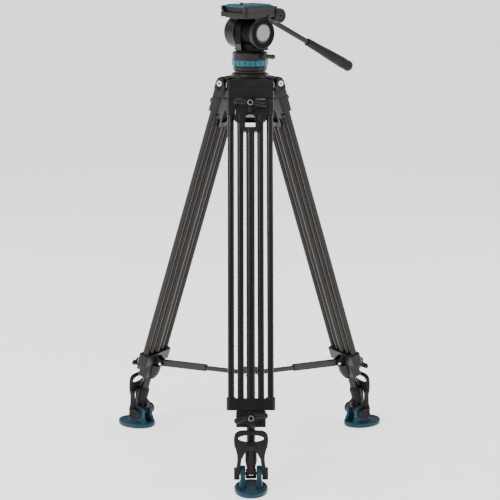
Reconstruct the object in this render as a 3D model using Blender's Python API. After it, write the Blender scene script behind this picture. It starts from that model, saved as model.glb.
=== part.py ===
"""A video tripod with a fluid head: three twin-tube legs in three sections, a mid-level
spreader, rubber-strapped foot pads, a half-ball seat and a pan and tilt head.

Dimensions are in millimetres. Shapes are built and joined in millimetres too, and add_part
turns them into metres. The tripod's axis is vertical, the floor is z = 0 and the front leg
points to -Y.

Each leg has its own frame at its pivot in the crown: x is sideways, y points inward to
the tripod's axis and z runs up the leg. Each foot has an upright frame on the axis of its
strap discs. The head has a frame on the tripod's axis: x points out of the badge side
along the tilt axis and y points to the rear, where the pan bar is.
"""

import math

import bmesh
import bpy
from mathutils import Matrix, Vector

# ---------------------------------------------------------------- driving dimensions, mm
MM = 0.001
GAP = 0.3  # between faces that touch on the real object
AXIS_Y = 35.06  # puts the centre of the whole object's box on the origin

LEGS = {"front": -90.0, "right": 30.0, "left": 150.0}  # azimuth of each leg, degrees
LEAN = 17.9  # angle of a spread leg from the vertical, degrees
PIVOT_R = 44.4  # leg pivot, from the tripod's axis
PIVOT_Z = 771.0

OUTER_X = 39.0  # tubes of the first section, from the leg's centre line
MIDDLE_X = 20.0  # tubes of the second section
TUBE_R = 6.5
CENTRE_R = 8.5  # the single tube of the third section
SLIP = 0.4  # running clearance of a tube in its guide
TIE_R = 2.5  # bar that ties a pair of tubes together inside a casting
OUTER_TIE_Z = -25.5
MIDDLE_TIE_Z = -54.0

SHOULDER_HALF = 47.0
SHOULDER_TOP = 12.0
SHOULDER_BOTTOM = -62.0
SHOULDER_FRONT = 9.5  # depth of the casting in front of the pivot
SHOULDER_BACK = 12.0
EAR_R = 10.0  # top of the ears, about the pivot
EAR_WALL = 7.2  # back of the wall that joins the ears at the front
LUG_HALF = 36.2  # half of the crown lug's length along the pivot
LUG_R = 6.5
WEB_TOP = 11.0  # top of the crown's webs, above the pivot
EAR_SLOT = 36.6  # half of the slot in the shoulder that takes the lug
AXLE_R = 3.0  # of the leg pivots and of the foot pins
AXLE_HEAD_R = 5.7

UPPER_KNOB_Z = -40.5
LOWER_KNOB_Z = -666.2
KNOB_FACE = 22.0  # how far out of the leg's middle plane a knob's back face is
KNOB_TIP = 38.0
UPPER_KNOB_IN = 11.7  # the upper knob sits this much closer to the leg than the lower one

MIDDLE_BRACKET_Z = (-31.5, -76.3)
COLLAR_Z = (-626.5, -650.4)
BLOCK_Z = (-650.8, -683.6)
BLOCK_HALF = 29.6

ARM_PIN = (25.0, -645.0)  # y and z of the spreader's pin in the leg's frame
HUB_PIVOT_R = 16.0
HUB_Z = 157.0
ARM_HALF = 6.0
ARM_OUTER_END = 112.0  # length of the outer arm from its pin
ARM_INNER_LENGTH = 104.0  # of the inner arm, back from its pivot in the hub

FOOT_R = 274.0  # axis of the strap discs, from the tripod's axis
FOOT_Z = 32.3
PAD_CENTRE_R = 287.3
PAD_LONG = 43.0
PAD_SHORT = 33.0
PAD_TOP = 11.5

HEAD_YAW = -50.3  # direction of the tilt axis, degrees
BALL_Z = 799.0  # centre of the half ball
BALL_R = 32.4
PAN_TOP = 834.0
TILT_Z = 872.0
DRUM_R = 31.0
PLATFORM_Z = (904.6, 919.0)
RAIL_TOP = 926.5
PLATE_TOP = 929.5
LOCK_END = (44.5, 15.2, 903.0)  # outer end of the tilt lock in the head's frame
LOCK_TURN = 24.3  # of the lock's axis from the tilt axis, degrees
LOCK_LENGTH = 11.5
LOCK_R = 6.0
BAR_HINGE = (-48.3, 62.0, 908.6)  # rosette of the pan bar in the head's frame
BAR_DROP = 26.1  # slope of the pan bar, degrees
BAR_LENGTH = 300.0
BAR_R = 5.75
GRIP_START = 158.0

COLOURS = {
    "black_plastic": ((0.030, 0.029, 0.028), 0.45, 0.0),
    "cast_black": ((0.040, 0.038, 0.036), 0.40, 0.3),
    "tube": ((0.060, 0.056, 0.052), 0.30, 0.8),
    "rubber": ((0.025, 0.024, 0.024), 0.80, 0.0),
    "blue_plastic": ((0.020, 0.120, 0.190), 0.25, 0.0),
    "blue_metal": ((0.050, 0.190, 0.260), 0.30, 0.8),
    "steel": ((0.600, 0.590, 0.570), 0.25, 1.0),
}


# ------------------------------------------------------------------------- mesh helpers
def to_mesh(bm):
    """A mesh with its faces pointing out, from a bmesh."""
    bmesh.ops.recalc_face_normals(bm, faces=bm.faces)
    if bm.calc_volume(signed=True) < 0:
        bmesh.ops.reverse_faces(bm, faces=bm.faces)
    mesh = bpy.data.meshes.new("shape")
    bm.to_mesh(mesh)
    bm.free()
    return mesh


def block(x, y, z):
    """A box between the two values given on each axis."""
    bm = bmesh.new()
    bmesh.ops.create_cube(bm, size=1.0)
    for vert in bm.verts:
        vert.co = [low + (high - low) * (c + 0.5) for c, (low, high) in zip(vert.co, (x, y, z))]
    return to_mesh(bm)


def prism(outline, low, high, axis):
    """An outline extruded along an axis. Its points hold the other two coordinates in order."""
    place = {"X": lambda p, t: (t, *p), "Y": lambda p, t: (p[0], t, p[1]), "Z": lambda p, t: (*p, t)}
    bm = bmesh.new()
    face = bm.faces.new([bm.verts.new(place[axis](point, low)) for point in outline])
    new = bmesh.ops.extrude_face_region(bm, geom=[face])["geom"]
    shift = Vector(place[axis]((0.0, 0.0), high - low))
    bmesh.ops.translate(bm, vec=shift, verts=[v for v in new if isinstance(v, bmesh.types.BMVert)])
    return to_mesh(bm)


def turned(profile, sides):
    """A profile of (radius, z) points, from axis to axis, turned about z."""
    bm = bmesh.new()
    verts = [bm.verts.new((radius, 0.0, z)) for radius, z in profile]
    edges = [bm.edges.new(pair) for pair in zip(verts, verts[1:])]
    bmesh.ops.spin(bm, geom=verts + edges, axis=(0, 0, 1), cent=(0, 0, 0), dvec=(0, 0, 0),
                   angle=math.tau, steps=sides, use_merge=True, use_duplicate=False)
    bmesh.ops.remove_doubles(bm, verts=bm.verts, dist=0.001)
    return to_mesh(bm)


def rod(start, end, radius, sides=12, end_radius=None):
    """A straight round bar between two points, or a cone with another radius at its end."""
    start, end = Vector(start), Vector(end)
    run = end - start
    turn = Vector((0, 0, 1)).rotation_difference(run).to_matrix().to_4x4()
    bm = bmesh.new()
    bmesh.ops.create_cone(bm, segments=sides, cap_ends=True, radius1=radius, depth=run.length,
                          radius2=radius if end_radius is None else end_radius)
    bm.transform(Matrix.Translation((start + end) / 2) @ turn)
    return to_mesh(bm)


def moved(mesh, matrix):
    """The same shape, moved by a matrix."""
    mesh.transform(matrix)
    return mesh


def helper_object(mesh):
    obj = bpy.data.objects.new("helper", mesh)
    bpy.context.scene.collection.objects.link(obj)
    return obj


def combine(base, add=(), cut=(), keep=()):
    """The base joined to some shapes, then kept inside others, then cut, by exact Booleans."""
    body = helper_object(base)
    helpers = [body]
    for operation, tools in (("UNION", add), ("INTERSECT", keep), ("DIFFERENCE", cut)):
        for tool in tools:
            helpers.append(helper_object(tool))
            step = body.modifiers.new(operation, "BOOLEAN")
            step.operation = operation
            step.solver = "EXACT"
            step.object = helpers[-1]
    bpy.context.view_layer.update()
    result = bpy.data.meshes.new_from_object(body.evaluated_get(bpy.context.evaluated_depsgraph_get()))
    for helper in helpers:
        bpy.data.objects.remove(helper)
    return result


def arc(centre, radius, start, end, steps):
    """Points of an arc from one angle to another, in degrees."""
    angles = [math.radians(start + (end - start) * i / steps) for i in range(steps + 1)]
    return [(centre[0] + radius * math.cos(a), centre[1] + radius * math.sin(a)) for a in angles]


# ---------------------------------------------------------------------- scene helpers
def clear_scene():
    for obj in list(bpy.data.objects):
        bpy.data.objects.remove(obj)


def material(key):
    found = bpy.data.materials.get(key)
    if found:
        return found
    colour, roughness, metallic = COLOURS[key]
    made = bpy.data.materials.new(key)
    made.use_nodes = True
    surface = made.node_tree.nodes["Principled BSDF"]
    surface.inputs["Base Color"].default_value = (*colour, 1.0)
    surface.inputs["Roughness"].default_value = roughness
    surface.inputs["Metallic"].default_value = metallic
    return made


def add_part(name, mesh, look, parent, location=(0.0, 0.0, 0.0), rotation=(0.0, 0.0, 0.0)):
    """One sub-part with its own material, placed in millimetres and degrees under its parent."""
    mesh = mesh.copy()
    mesh.transform(Matrix.Scale(MM, 4))
    mesh.name = name
    mesh.materials.clear()
    own = material(look).copy()
    own.name = name
    mesh.materials.append(own)
    mesh.shade_smooth()
    mesh.set_sharp_from_angle(angle=math.radians(35))
    obj = bpy.data.objects.new(name, mesh)
    bpy.context.scene.collection.objects.link(obj)
    obj.parent = parent
    obj.location = Vector(location) * MM
    obj.rotation_euler = [math.radians(angle) for angle in rotation]
    return obj


def add_frame(name, parent, location, rotation):
    """An empty that other objects hang on."""
    frame = bpy.data.objects.new(name, None)
    bpy.context.scene.collection.objects.link(frame)
    frame.parent = parent
    frame.location = Vector(location) * MM
    frame.rotation_mode = "XYZ"
    frame.rotation_euler = [math.radians(angle) for angle in rotation]
    return frame


# ------------------------------------------------------------------- leg, first section
def tube_bore(x, radius, low, high, sides=12):
    return rod((x, 0, low), (x, 0, high), radius + SLIP, sides)


def shoulder_mesh():
    """Cast yoke: two ears on the crown's lug, a front wall and two cheeks for the tubes."""
    half, top, bottom = SHOULDER_HALF, SHOULDER_TOP, SHOULDER_BOTTOM
    front_y, back_y = -SHOULDER_FRONT, SHOULDER_BACK
    front = [(-half, bottom), (half, bottom), (half, 0), (half - 2, 8), (half - 6, top),
             (-half + 6, top), (-half + 2, 8), (-half, 0)]
    side = [(front_y, bottom), (back_y, bottom), (back_y, -2)]
    side += arc((0, 0), EAR_R, 30, 150, 6) + [(front_y, 0)]
    body = prism(front, front_y - 1, back_y + 1, "Y")
    outside = prism(side, -half - 1, half + 1, "X")
    cuts = [
        block((-EAR_SLOT, EAR_SLOT), (-EAR_WALL, back_y + 5), (-14, top + 9)),
        block((-29.4, 29.4), (front_y - 5, back_y + 5), (bottom - 9, -30)),
        rod((-half - 9, 0, 0), (half + 9, 0, 0), AXLE_R + SLIP, 8),
    ]
    cuts += [tube_bore(x, TUBE_R, bottom - 9, -20) for x in (-OUTER_X, OUTER_X)]
    cuts.append(rod((-OUTER_X, 0, OUTER_TIE_Z), (OUTER_X, 0, OUTER_TIE_Z), TIE_R + SLIP, 8))
    return combine(body, keep=[outside], cut=cuts)


def tubes_mesh(x, high, low, tie_z):
    """A pair of tubes, closed by their castings, with the tie bar that joins them inside one."""
    left, right = [rod((side * x, 0, low), (side * x, 0, high), TUBE_R) for side in (-1, 1)]
    return combine(left, [right, rod((-x, 0, tie_z), (x, 0, tie_z), TIE_R, 8)])


def collar_mesh():
    """Bottom casting of the first section, with the lug for the spreader's pin behind it."""
    high, low = COLLAR_Z
    body = block((-48, 48), (-12, 12), (low, high))
    pin_y, pin_z = ARM_PIN
    ears = [prism([(10, low), (pin_y, low)] + arc((pin_y, pin_z), 6, -60, 90, 5) + [(10, pin_z + 12)],
                  *sorted((side * 6.5, side * 10)), "X") for side in (-1, 1)]
    cuts = [tube_bore(x, TUBE_R, low - 9, high + 9) for x in (-MIDDLE_X, MIDDLE_X)]
    cuts += [tube_bore(x, TUBE_R, low + 5, high + 9) for x in (-OUTER_X, OUTER_X)]
    cuts.append(tube_bore(0, CENTRE_R, low - 9, high + 9))
    return combine(body, ears, cuts)


# ------------------------------------------------------------------ leg, second section
def middle_bracket_mesh():
    """Top guide of the second section: a bridge between the cheeks and two lugs below it."""
    high, low = MIDDLE_BRACKET_Z
    outline = [(-28.8, high), (28.8, high), (28.8, -62.6), (33.5, -62.6), (33.5, -69), (27, low),
               (12.7, low), (12.7, -59.5), (-12.7, -59.5), (-12.7, low), (-27, low),
               (-33.5, -69), (-33.5, -62.6), (-28.8, -62.6)]
    body = prism(outline, -9.2, 11, "Y")
    cuts = [tube_bore(x, TUBE_R, low - 9, -48) for x in (-MIDDLE_X, MIDDLE_X)]
    cuts += [tube_bore(x, TUBE_R, low - 9, high + 9) for x in (-OUTER_X, OUTER_X)]
    cuts.append(rod((-MIDDLE_X, 0, MIDDLE_TIE_Z), (MIDDLE_X, 0, MIDDLE_TIE_Z), TIE_R + SLIP, 8))
    return combine(body, cut=cuts)


def middle_block_mesh():
    """Bottom block of the second section, with a rounded bulge on its inner side."""
    high, low = BLOCK_Z
    body = block((-BLOCK_HALF, BLOCK_HALF), (-11, 11), (low, high))
    bulge = prism(arc((0, 9), 14, 0, 180, 8), low - 8.4, high - 3, "Z")
    boss = rod((0, -9, LOWER_KNOB_Z), (0, -KNOB_FACE + GAP, LOWER_KNOB_Z), 10)
    cuts = [tube_bore(x, TUBE_R, low + 12, high + 9) for x in (-MIDDLE_X, MIDDLE_X)]
    cuts.append(tube_bore(0, CENTRE_R, low - 9, high + 9))
    return combine(body, [bulge, boss], cuts)


def lock_knob_mesh():
    """Three-armed wing knob about y: two wings and a shorter tail, with a screw in its middle."""
    tip, back = -KNOB_TIP, -KNOB_FACE
    wing = [(-34, 3), (-31, 6), (-12, 6), (-6, 9), (6, 9), (12, 6), (31, 6), (34, 3), (34, -2),
            (31, -5), (14, -6), (6, -12), (3, -19), (-3, -19), (-6, -12), (-14, -6), (-31, -5),
            (-34, -2)]
    return combine(prism(wing, back - 9, back, "Y"), [rod((0, back - 5, 0), (0, tip, 0), 8, 12, 6.5)])


# ------------------------------------------------------------------- leg, third section
def lower_tube_mesh():
    """Centre tube with the guide pressed on its top, which has a window and runs on the middle tubes."""
    outline = [(-12, -60.2), (12, -60.2), (12, -77.2), (19.5, -77.2), (19.5, -88), (16, -96.3),
               (-16, -96.3), (-19.5, -88), (-19.5, -77.2), (-12, -77.2)]
    cuts = [block((-10, 10), (-19, 19), (-86.8, -68.2))]
    cuts += [tube_bore(x, TUBE_R, -99, -59) for x in (-MIDDLE_X, MIDDLE_X)]
    guide = combine(prism(outline, -10, 10, "Y"), cut=cuts)
    return combine(guide, [rod((0, 0, -738), (0, 0, -89.4), CENTRE_R)])


def foot_boot_mesh():
    """Sleeve on the centre tube that tapers down to the cross pin of the pad and the strap."""
    profile = [(0, -716), (10.5, -716), (11.8, -722), (11.8, -750), (8.5, -762), (7.6, -776), (0, -776)]
    sleeve = turned(profile, 12)
    pin_y, pin_z = foot_axis_in_leg()
    cup = rod((-10.6, pin_y, pin_z), (10.6, pin_y, pin_z), 10)
    pin = rod((-33, pin_y, pin_z), (33, pin_y, pin_z), AXLE_R, 8)
    hook = prism([(6, -740), (19, -746), (21, -760), (18, -760), (16, -749), (6, -748)], -6, 6, "X")
    bore = rod((0, 0, -738.4), (0, 0, -700), CENTRE_R + GAP)
    return combine(sleeve, [cup, pin, hook], [bore])


def foot_axis_in_leg():
    """(y, z) in the leg's frame of the axis through the strap's discs."""
    out, down = FOOT_R - PIVOT_R, PIVOT_Z - FOOT_Z
    lean = math.radians(LEAN)
    return down * math.sin(lean) - out * math.cos(lean), -(out * math.sin(lean) + down * math.cos(lean))


# -------------------------------------------------------------- foot, in its own frame
def foot_pad_mesh():
    """Oval pad on the floor with two upright ears on the disc axis."""
    sole = turned([(0, PAD_TOP), (0.55, PAD_TOP), (0.9, PAD_TOP - 2.5), (1.0, 5), (0.94, 0), (0, 0)], 24)
    place = Matrix.Translation((0, FOOT_R - PAD_CENTRE_R, -FOOT_Z)) @ Matrix.Diagonal(
        (PAD_SHORT, PAD_LONG, 1, 1))
    base_z = PAD_TOP - 3 - FOOT_Z
    ears = [prism([(-22, base_z), (20, base_z)] + arc((0, 0), 16, 10, 170, 6),
                  *sorted((side * 11, side * 18)), "X") for side in (-1, 1)]
    bore = rod((-40, 0, 0), (40, 0, 0), AXLE_R + SLIP, 8)
    return combine(moved(sole, place), ears, [bore])


def foot_strap_mesh():
    """Rubber strap: two discs, two arms up to a plate with a finger hole, and a band bent in."""
    half = [(22, -4), (34, -4), (34, 10), (25, 22), (24, 44), (32, 62), (32, 78), (29, 88), (20, 95)]
    inner = [(-20, 95), (-29, 88), (-32, 78), (-32, 62), (-24, 44), (-25, 22), (-34, 10), (-34, -4),
             (-22, -4), (-18.5, 12), (-17, 36), (-10, 51), (10, 51), (17, 36), (18.5, 12)]
    leaf = prism(half + inner, -3, 3, "Y")
    eye = prism([(25 * x, 74.2 + 6.1 * z) for x, z in arc((0, 0), 1, 5, 350, 23)], -9, 9, "Y")
    bent = bend_leaf(combine(leaf, cut=[eye]))
    roll = rod((-19, -4.5, 84.8), (19, -4.5, 84.8), 4.2)
    discs = [rod((side * 22, 0, 0), (side * 34, 0, 0), 12.5, 16) for side in (-1, 1)]
    bores = [rod((-40, 0, 0), (40, 0, 0), AXLE_R + SLIP, 8)]
    return combine(bent, discs + [roll], bores)


def bend_leaf(mesh):
    """Moves the flat strap outward and turns its upper end in toward the leg."""
    bm = bmesh.new()
    bm.from_mesh(mesh)
    bmesh.ops.triangulate(bm, faces=bm.faces)
    for height in (12, 50, 60, 84):
        bmesh.ops.bisect_plane(bm, geom=bm.verts[:] + bm.edges[:] + bm.faces[:],
                               plane_co=(0, 0, height), plane_no=(0, 0, 1))
    for vert in bm.verts:
        y, z = leaf_line(vert.co.z)
        vert.co.y += y
        vert.co.z = z
    result = bpy.data.meshes.new("leaf")
    bm.to_mesh(result)
    bm.free()
    return result


def leaf_line(height):
    """(y, z) of the strap's middle line at a height of its flat outline."""
    turns = [(-4, -9, -4), (12, -10.5, 12), (50, -10, 50), (60, -9.5, 60), (84, -6, 84), (95, -1, 89)]
    for (h0, y0, z0), (h1, y1, z1) in zip(turns, turns[1:]):
        if height <= h1 + 0.01:
            t = (height - h0) / (h1 - h0)
            return y0 + (y1 - y0) * t, z0 + (z1 - z0) * t
    return turns[-1][1:]


# ------------------------------------------------------------------------------ spreader
def arm_outer_mesh():
    """Hollow bar, open at its inner end, on a pin in the collar's lug. It runs along +y."""
    profile = [(-3, -6), (ARM_OUTER_END, -6), (ARM_OUTER_END, 6), (-3, 6), (-6, 3), (-6, -3)]
    body = prism(profile, -ARM_HALF, ARM_HALF, "X")
    hollow = block((-4.7, 4.7), (8, ARM_OUTER_END + 9), (-4.7, 4.7))
    return combine(body, cut=[hollow])


def arm_inner_mesh(length):
    """Bar that slides in the outer arm, with a thin tongue on the hub's pivot at its end."""
    bar = block((-4.3, 4.3), (length - ARM_INNER_LENGTH, length - 16), (-4.3, 4.3))
    tongue = prism([(length - 20, -4), (length, -4)] + arc((length, 0), 4, -60, 90, 5)
                   + [(length - 20, 4)], -2, 2, "X")
    return combine(bar, [tongue], [rod((-9, length, 0), (9, length, 0), 1.9, 12)])


def hub_mesh():
    """Cap over the three tongues with a pair of ears for each, and the front tongue's pin."""
    cap = rod((0, 0, 7), (0, 0, 10), 24, 24)
    ears = []
    for azimuth in LEGS.values():
        turn = Matrix.Rotation(math.radians(azimuth), 4, "Z")
        for side in (-1, 1):
            ear = block((12, 20), sorted((side * 8, side * 9.6)), (-4, 8))
            ears.append(moved(ear, turn))
    pin = rod((-9, -HUB_PIVOT_R, 0), (9, -HUB_PIVOT_R, 0), 1.6, 12)
    return combine(cap, ears + [pin])


# ------------------------------------------------------------------------------- crown
def spider_mesh():
    """Crown: a bowl for the half ball and three lugs that the legs hinge on."""
    shell = turned([(0, 791), (36, 791), (38, 787), (38, 762), (28, 757.5), (26, 744), (0, 744)], 24)
    lugs, bores = [], []
    for azimuth in LEGS.values():
        turn = Matrix.Rotation(math.radians(azimuth), 4, "Z")
        web = block((10, PIVOT_R), (-LUG_HALF, LUG_HALF), (PIVOT_Z - LUG_R, PIVOT_Z + WEB_TOP))
        lug = rod((PIVOT_R, -LUG_HALF, PIVOT_Z), (PIVOT_R, LUG_HALF, PIVOT_Z), LUG_R)
        bore = rod((PIVOT_R, -50, PIVOT_Z), (PIVOT_R, 50, PIVOT_Z), AXLE_R + SLIP, 8)
        lugs += [moved(web, turn), moved(lug, turn)]
        bores.append(moved(bore, turn))
    seat = turned([(0, BALL_Z + 20), (BALL_R + 4, BALL_Z + 20), (BALL_R + 0.4, BALL_Z)]
                  + [(r, BALL_Z + z) for r, z in arc((0, 0), BALL_R + 0.4, -8, -82, 6)]
                  + [(0, BALL_Z - BALL_R - 0.4)], 24)
    stem_hole = rod((0, 0, 740), (0, 0, 780), 17, 24)
    return combine(shell, lugs, [seat, stem_hole] + bores)


def pivot_axle_mesh():
    """Axle through both ears of a shoulder and the crown's lug, with a socket head at each end."""
    face = SHOULDER_HALF + GAP
    heads = [rod((side * face, 0, 0), (side * (face + 0.9), 0, 0), AXLE_HEAD_R) for side in (-1, 1)]
    sockets = [rod((side * (face + 0.4), 0, 0), (side * (face + 5), 0, 0), 2.6, 6) for side in (-1, 1)]
    return combine(rod((-face, 0, 0), (face, 0, 0), AXLE_R, 8), heads, sockets)


def half_ball_mesh():
    """Levelling half ball with a flange above and a threaded stem below."""
    ball = [(r, z) for r, z in arc((0, 0), BALL_R, -5, -52, 5)]
    profile = [(0, 5.6), (34.0, 5.6), (34.6, 4.6), (34.6, -1), (33.4, -2.6)] + ball
    profile += [(6, -26), (6, -66), (0, -66)]
    return turned(profile, 24)


def tie_down_knob_mesh():
    """Hand knob on the stem, which pulls the half ball down into the crown."""
    profile = [(0, -60.5), (21, -60.5), (23, -63), (23, -70), (14, -76), (12, -104), (0, -106)]
    thread = rod((0, 0, -67), (0, 0, -50), 6 + GAP, 16)
    return combine(turned(profile, 24), cut=[thread])


# -------------------------------------------------------------------------------- head
def drag_ring_mesh():
    """Ribbed ring under the pan base."""
    low, high, ribs = 806.6, 818.3, 18
    outline = []
    for i in range(ribs):
        for part, radius in ((0.0, 37.0), (0.5, 37.0), (0.55, 36.3), (0.95, 36.3)):
            angle = math.tau * (i + part) / ribs
            outline.append((radius * math.cos(angle), radius * math.sin(angle)))
    return combine(prism(outline, low, high, "Z"), cut=[rod((0, 0, 800), (0, 0, 825), 30, 24)])


def pan_base_mesh():
    """Round pan housing with its spigot through the drag ring and the seat of the tilt housing."""
    profile = [(0, PAN_TOP), (34, PAN_TOP), (36.2, PAN_TOP - 3), (36.2, 818.6), (29.6, 818.6),
               (29.6, 806.3), (35.2, 806.3), (35.2, 804.9), (0, 804.9)]
    return turned(profile, 28)


def pan_lever_mesh():
    """Pan lock lever about x, its boss on the housing and its bar to the side."""
    boss = rod((0, 0, 0), (8, 0, 0), 6, 16)
    bar = rod((4.5, 0, 0), (4.5, 26, -2.5), 4.2, 12, 4.6)
    tip = rod((4.5, 25, -2.4), (4.5, 28, -2.7), 4.4, 12, 3)
    return combine(boss, [bar, tip])


def tilt_housing_mesh():
    """Fixed middle of the tilt head: a flat-fronted block and a ribbed drum on the pan base."""
    seat, neck_top = PAN_TOP + GAP - TILT_Z, -33.5
    block_outline = [(-27, neck_top - 1), (27, neck_top - 1)] + arc((0, 0), 31, 10, 170, 10)
    body = prism(block_outline, -14.6, 5, "X")
    neck = rod((0, 0, seat), (0, 0, neck_top), 29, 28)
    foot = block((-14.6, 33), (-22, 22), (neck_top - 1, -22))
    drum = rod((4, 0, 0), (33, 0, 0), 28, 28)
    return combine(body, [neck, foot, drum])


def left_drum_mesh():
    """Plain drum on the far side of the tilt axis, with a saddle up into the platform."""
    drum = rod((-15, 0, 0), (-48, 0, 0), 32.2, 28)
    saddle = block((-44, -15), (-20, 20), (10, PLATFORM_Z[0] - TILT_Z + 2))
    return combine(drum, [saddle])


def right_drum_mesh():
    """Badge-side drum in steps, with a saddle up into the platform."""
    drum = turned([(0, 42), (18, 42), (18, 41), (21.5, 41), (22.5, 42), (28.5, 42), (DRUM_R, 39.5),
                   (DRUM_R, 33.3), (0, 33.3)], 28)
    drum = moved(drum, Matrix.Rotation(math.radians(90), 4, "Y"))
    saddle = block((33.3, 39), (-16, 12), (10, PLATFORM_Z[0] - TILT_Z + 2))
    return combine(drum, [saddle])


def tilt_cradle_mesh():
    """Casting that tilts: the camera platform and a drum on each side of the tilt housing.

    The platform has a dovetail channel and a block at its rear for the knob and the pan bar.
    """
    low, high = PLATFORM_Z
    deck = prism([(-38, -46), (38, -46), (42, -42), (42, 30), (22, 30), (22, 57), (18, 61), (-38, 69),
                  (-45.5, 66), (-45.5, -38)], low, high, "Z")
    rear = block((-45.5, 22), (36, 62), (low - 6, low + 2))
    rails = [prism([(32.4, -46), (38, -46), (42, -42), (42, 30), (32.4, 30)], high - 1, RAIL_TOP, "Z"),
             prism([(-45.5, -38), (-38, -46), (-32.4, -46), (-32.4, 62), (-45.5, 62)], high - 1,
                   RAIL_TOP, "Z"),
             block((-33, 20), (36, 57), (high - 1, high + 5))]
    channel = prism([(-28, high + 3), (-28, high - 5), (28, high - 5), (28, high + 3)], -60, 38, "Y")
    up = Matrix.Translation((0, 0, TILT_Z))
    drums = [moved(left_drum_mesh(), up), moved(right_drum_mesh(), up)]
    lock_bore = lock_rod(LOCK_LENGTH + GAP, LOCK_R + SLIP)
    return combine(deck, [rear] + rails + drums, [channel, lock_bore])


def quick_plate_mesh():
    """Sliding quick-release plate with a tongue in the platform's channel and two small pins."""
    high = PLATFORM_Z[1]
    top = prism([(-30, -41), (30, -41), (32, -39), (32, 32), (30, 34), (-30, 34), (-32, 32), (-32, -39)],
                high + GAP, PLATE_TOP, "Z")
    tongue = block((-27.6, 27.6), (-40, 32), (high - 4.7, high + 2))
    pins = [rod((0, -33, PLATE_TOP - 1), (0, -33, PLATE_TOP + 6), 1.2, 8),
            rod((0, 27.6, PLATE_TOP - 1), (0, 27.6, PLATE_TOP + 2), 1.6, 8)]
    slot = rod((0, -22, high - 9), (0, -22, PLATE_TOP + 9), 3.6, 16)
    recess = rod((0, -22, high - 9), (0, -22, PLATE_TOP - 5), 9, 16)
    return combine(top, [tongue] + pins, [slot, recess])


def camera_screw_mesh():
    """Camera screw with a flat head under the plate."""
    high = PLATE_TOP
    return turned([(0, high + 4.5), (2.2, high + 4), (3.1, high + 2.8), (3.1, high - 5.6), (8.4, high - 5.6),
                   (8.4, high - 8), (0, high - 8)], 16)


def plate_knob_mesh():
    """Round knob about x that locks the plate."""
    profile = [(0, 42), (4, 42), (4, 40), (9, 40), (10, 42), (13.5, 42), (15, 40), (15, 28.4), (5, 28.4),
               (5, 22.3), (0, 22.3)]
    return moved(turned(profile, 20), Matrix.Rotation(math.radians(90), 4, "Y"))


def lock_rod(length, radius):
    """A bar on the tilt lock's axis, from a length inside its outer end to well outside it."""
    turn = math.radians(LOCK_TURN)
    out = Vector((math.cos(turn), math.sin(turn), 0))
    return rod(Vector(LOCK_END) - out * length, Vector(LOCK_END) + out * 9, radius)


def tilt_lock_mesh():
    """Small tapered lock about x, from its outer end inward, with a hexagon socket in it."""
    body = rod((-LOCK_LENGTH, 0, 0), (0, 0, 0), LOCK_R - 0.7, 12, LOCK_R)
    return combine(body, cut=[rod((-4, 0, 0), (9, 0, 0), 2.8, 6)])


def bar_direction():
    drop = math.radians(BAR_DROP)
    return Vector((0, math.cos(drop), -math.sin(drop)))


def pan_bar_mesh():
    """Pan bar and its toothed clamp, about the clamp's own axis along x."""
    clamp = rod((0, 0, 0), (-12, 0, 0), 13, 20)
    run = bar_direction()
    centre = Vector((-6, 0, 0))
    bar = rod(centre + run * 4, centre + run * (BAR_LENGTH - 8), BAR_R, 14)
    return combine(clamp, [bar])


def grip_mesh():
    """Soft grip that widens to a rounded end, along +z from the pan bar's clamp."""
    first, last = GRIP_START, BAR_LENGTH
    profile = [(0, last), (7, last), (11, last - 4), (12, last - 9), (11.4, last - 16), (11.6, last - 60),
               (9.4, last - 100), (8.6, first + 7), (8.6, first + 5), (7.6, first + 4), (7.6, first),
               (0, first)]
    return combine(turned(profile, 20), cut=[rod((0, 0, first - 9), (0, 0, last - 7), BAR_R + GAP, 14)])


# ---------------------------------------------------------------------------- assembly
def add_leg(side, azimuth, root, shapes):
    turn = math.radians(azimuth)
    pivot = (PIVOT_R * math.cos(turn), PIVOT_R * math.sin(turn), PIVOT_Z)
    leg = add_frame(side + "_leg_frame", root, pivot, (-LEAN, 0, azimuth + 90))
    for name, look in (("shoulder", "cast_black"), ("outer_tubes", "tube"), ("collar", "black_plastic"),
                       ("middle_bracket", "cast_black"), ("middle_tubes", "tube"),
                       ("middle_block", "cast_black"), ("lower_tube", "tube"),
                       ("foot_boot", "rubber"), ("pivot_axle", "steel")):
        add_part(f"{side}_{name}", shapes[name], look, leg)
    add_part(side + "_upper_lock_knob", shapes["knob"], "black_plastic", leg,
             (0, UPPER_KNOB_IN, UPPER_KNOB_Z), (0, 7, 0))
    add_part(side + "_lower_lock_knob", shapes["knob"], "black_plastic", leg,
             (0, 0, LOWER_KNOB_Z), (0, -10, 0))

    foot_at = (FOOT_R * math.cos(turn), FOOT_R * math.sin(turn), FOOT_Z)
    foot = add_frame(side + "_foot_frame", root, foot_at, (0, 0, azimuth + 90))
    add_part(side + "_foot_pad", shapes["foot_pad"], "blue_plastic", foot)
    add_part(side + "_foot_strap", shapes["foot_strap"], "rubber", foot)

    pin_r, pin_z, slope, length = arm_line()
    pin_at = (pin_r * math.cos(turn), pin_r * math.sin(turn), pin_z)
    arm = add_frame(side + "_arm_frame", root, pin_at, (slope, 0, azimuth + 90))
    add_part(side + "_arm_outer", shapes["arm_outer"], "cast_black", arm)
    add_part(side + "_arm_inner", arm_inner_mesh(length), "tube", arm)


def arm_line():
    """Radius and height of the arm's pin, and the arm's slope in degrees and length to the hub."""
    lean = math.radians(LEAN)
    pin_y, pin_z = ARM_PIN
    radius = PIVOT_R - pin_z * math.sin(lean) - pin_y * math.cos(lean)
    height = PIVOT_Z + pin_z * math.cos(lean) - pin_y * math.sin(lean)
    run, rise = radius - HUB_PIVOT_R, HUB_Z - height
    return radius, height, math.degrees(math.atan2(rise, run)), math.hypot(run, rise)


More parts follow.
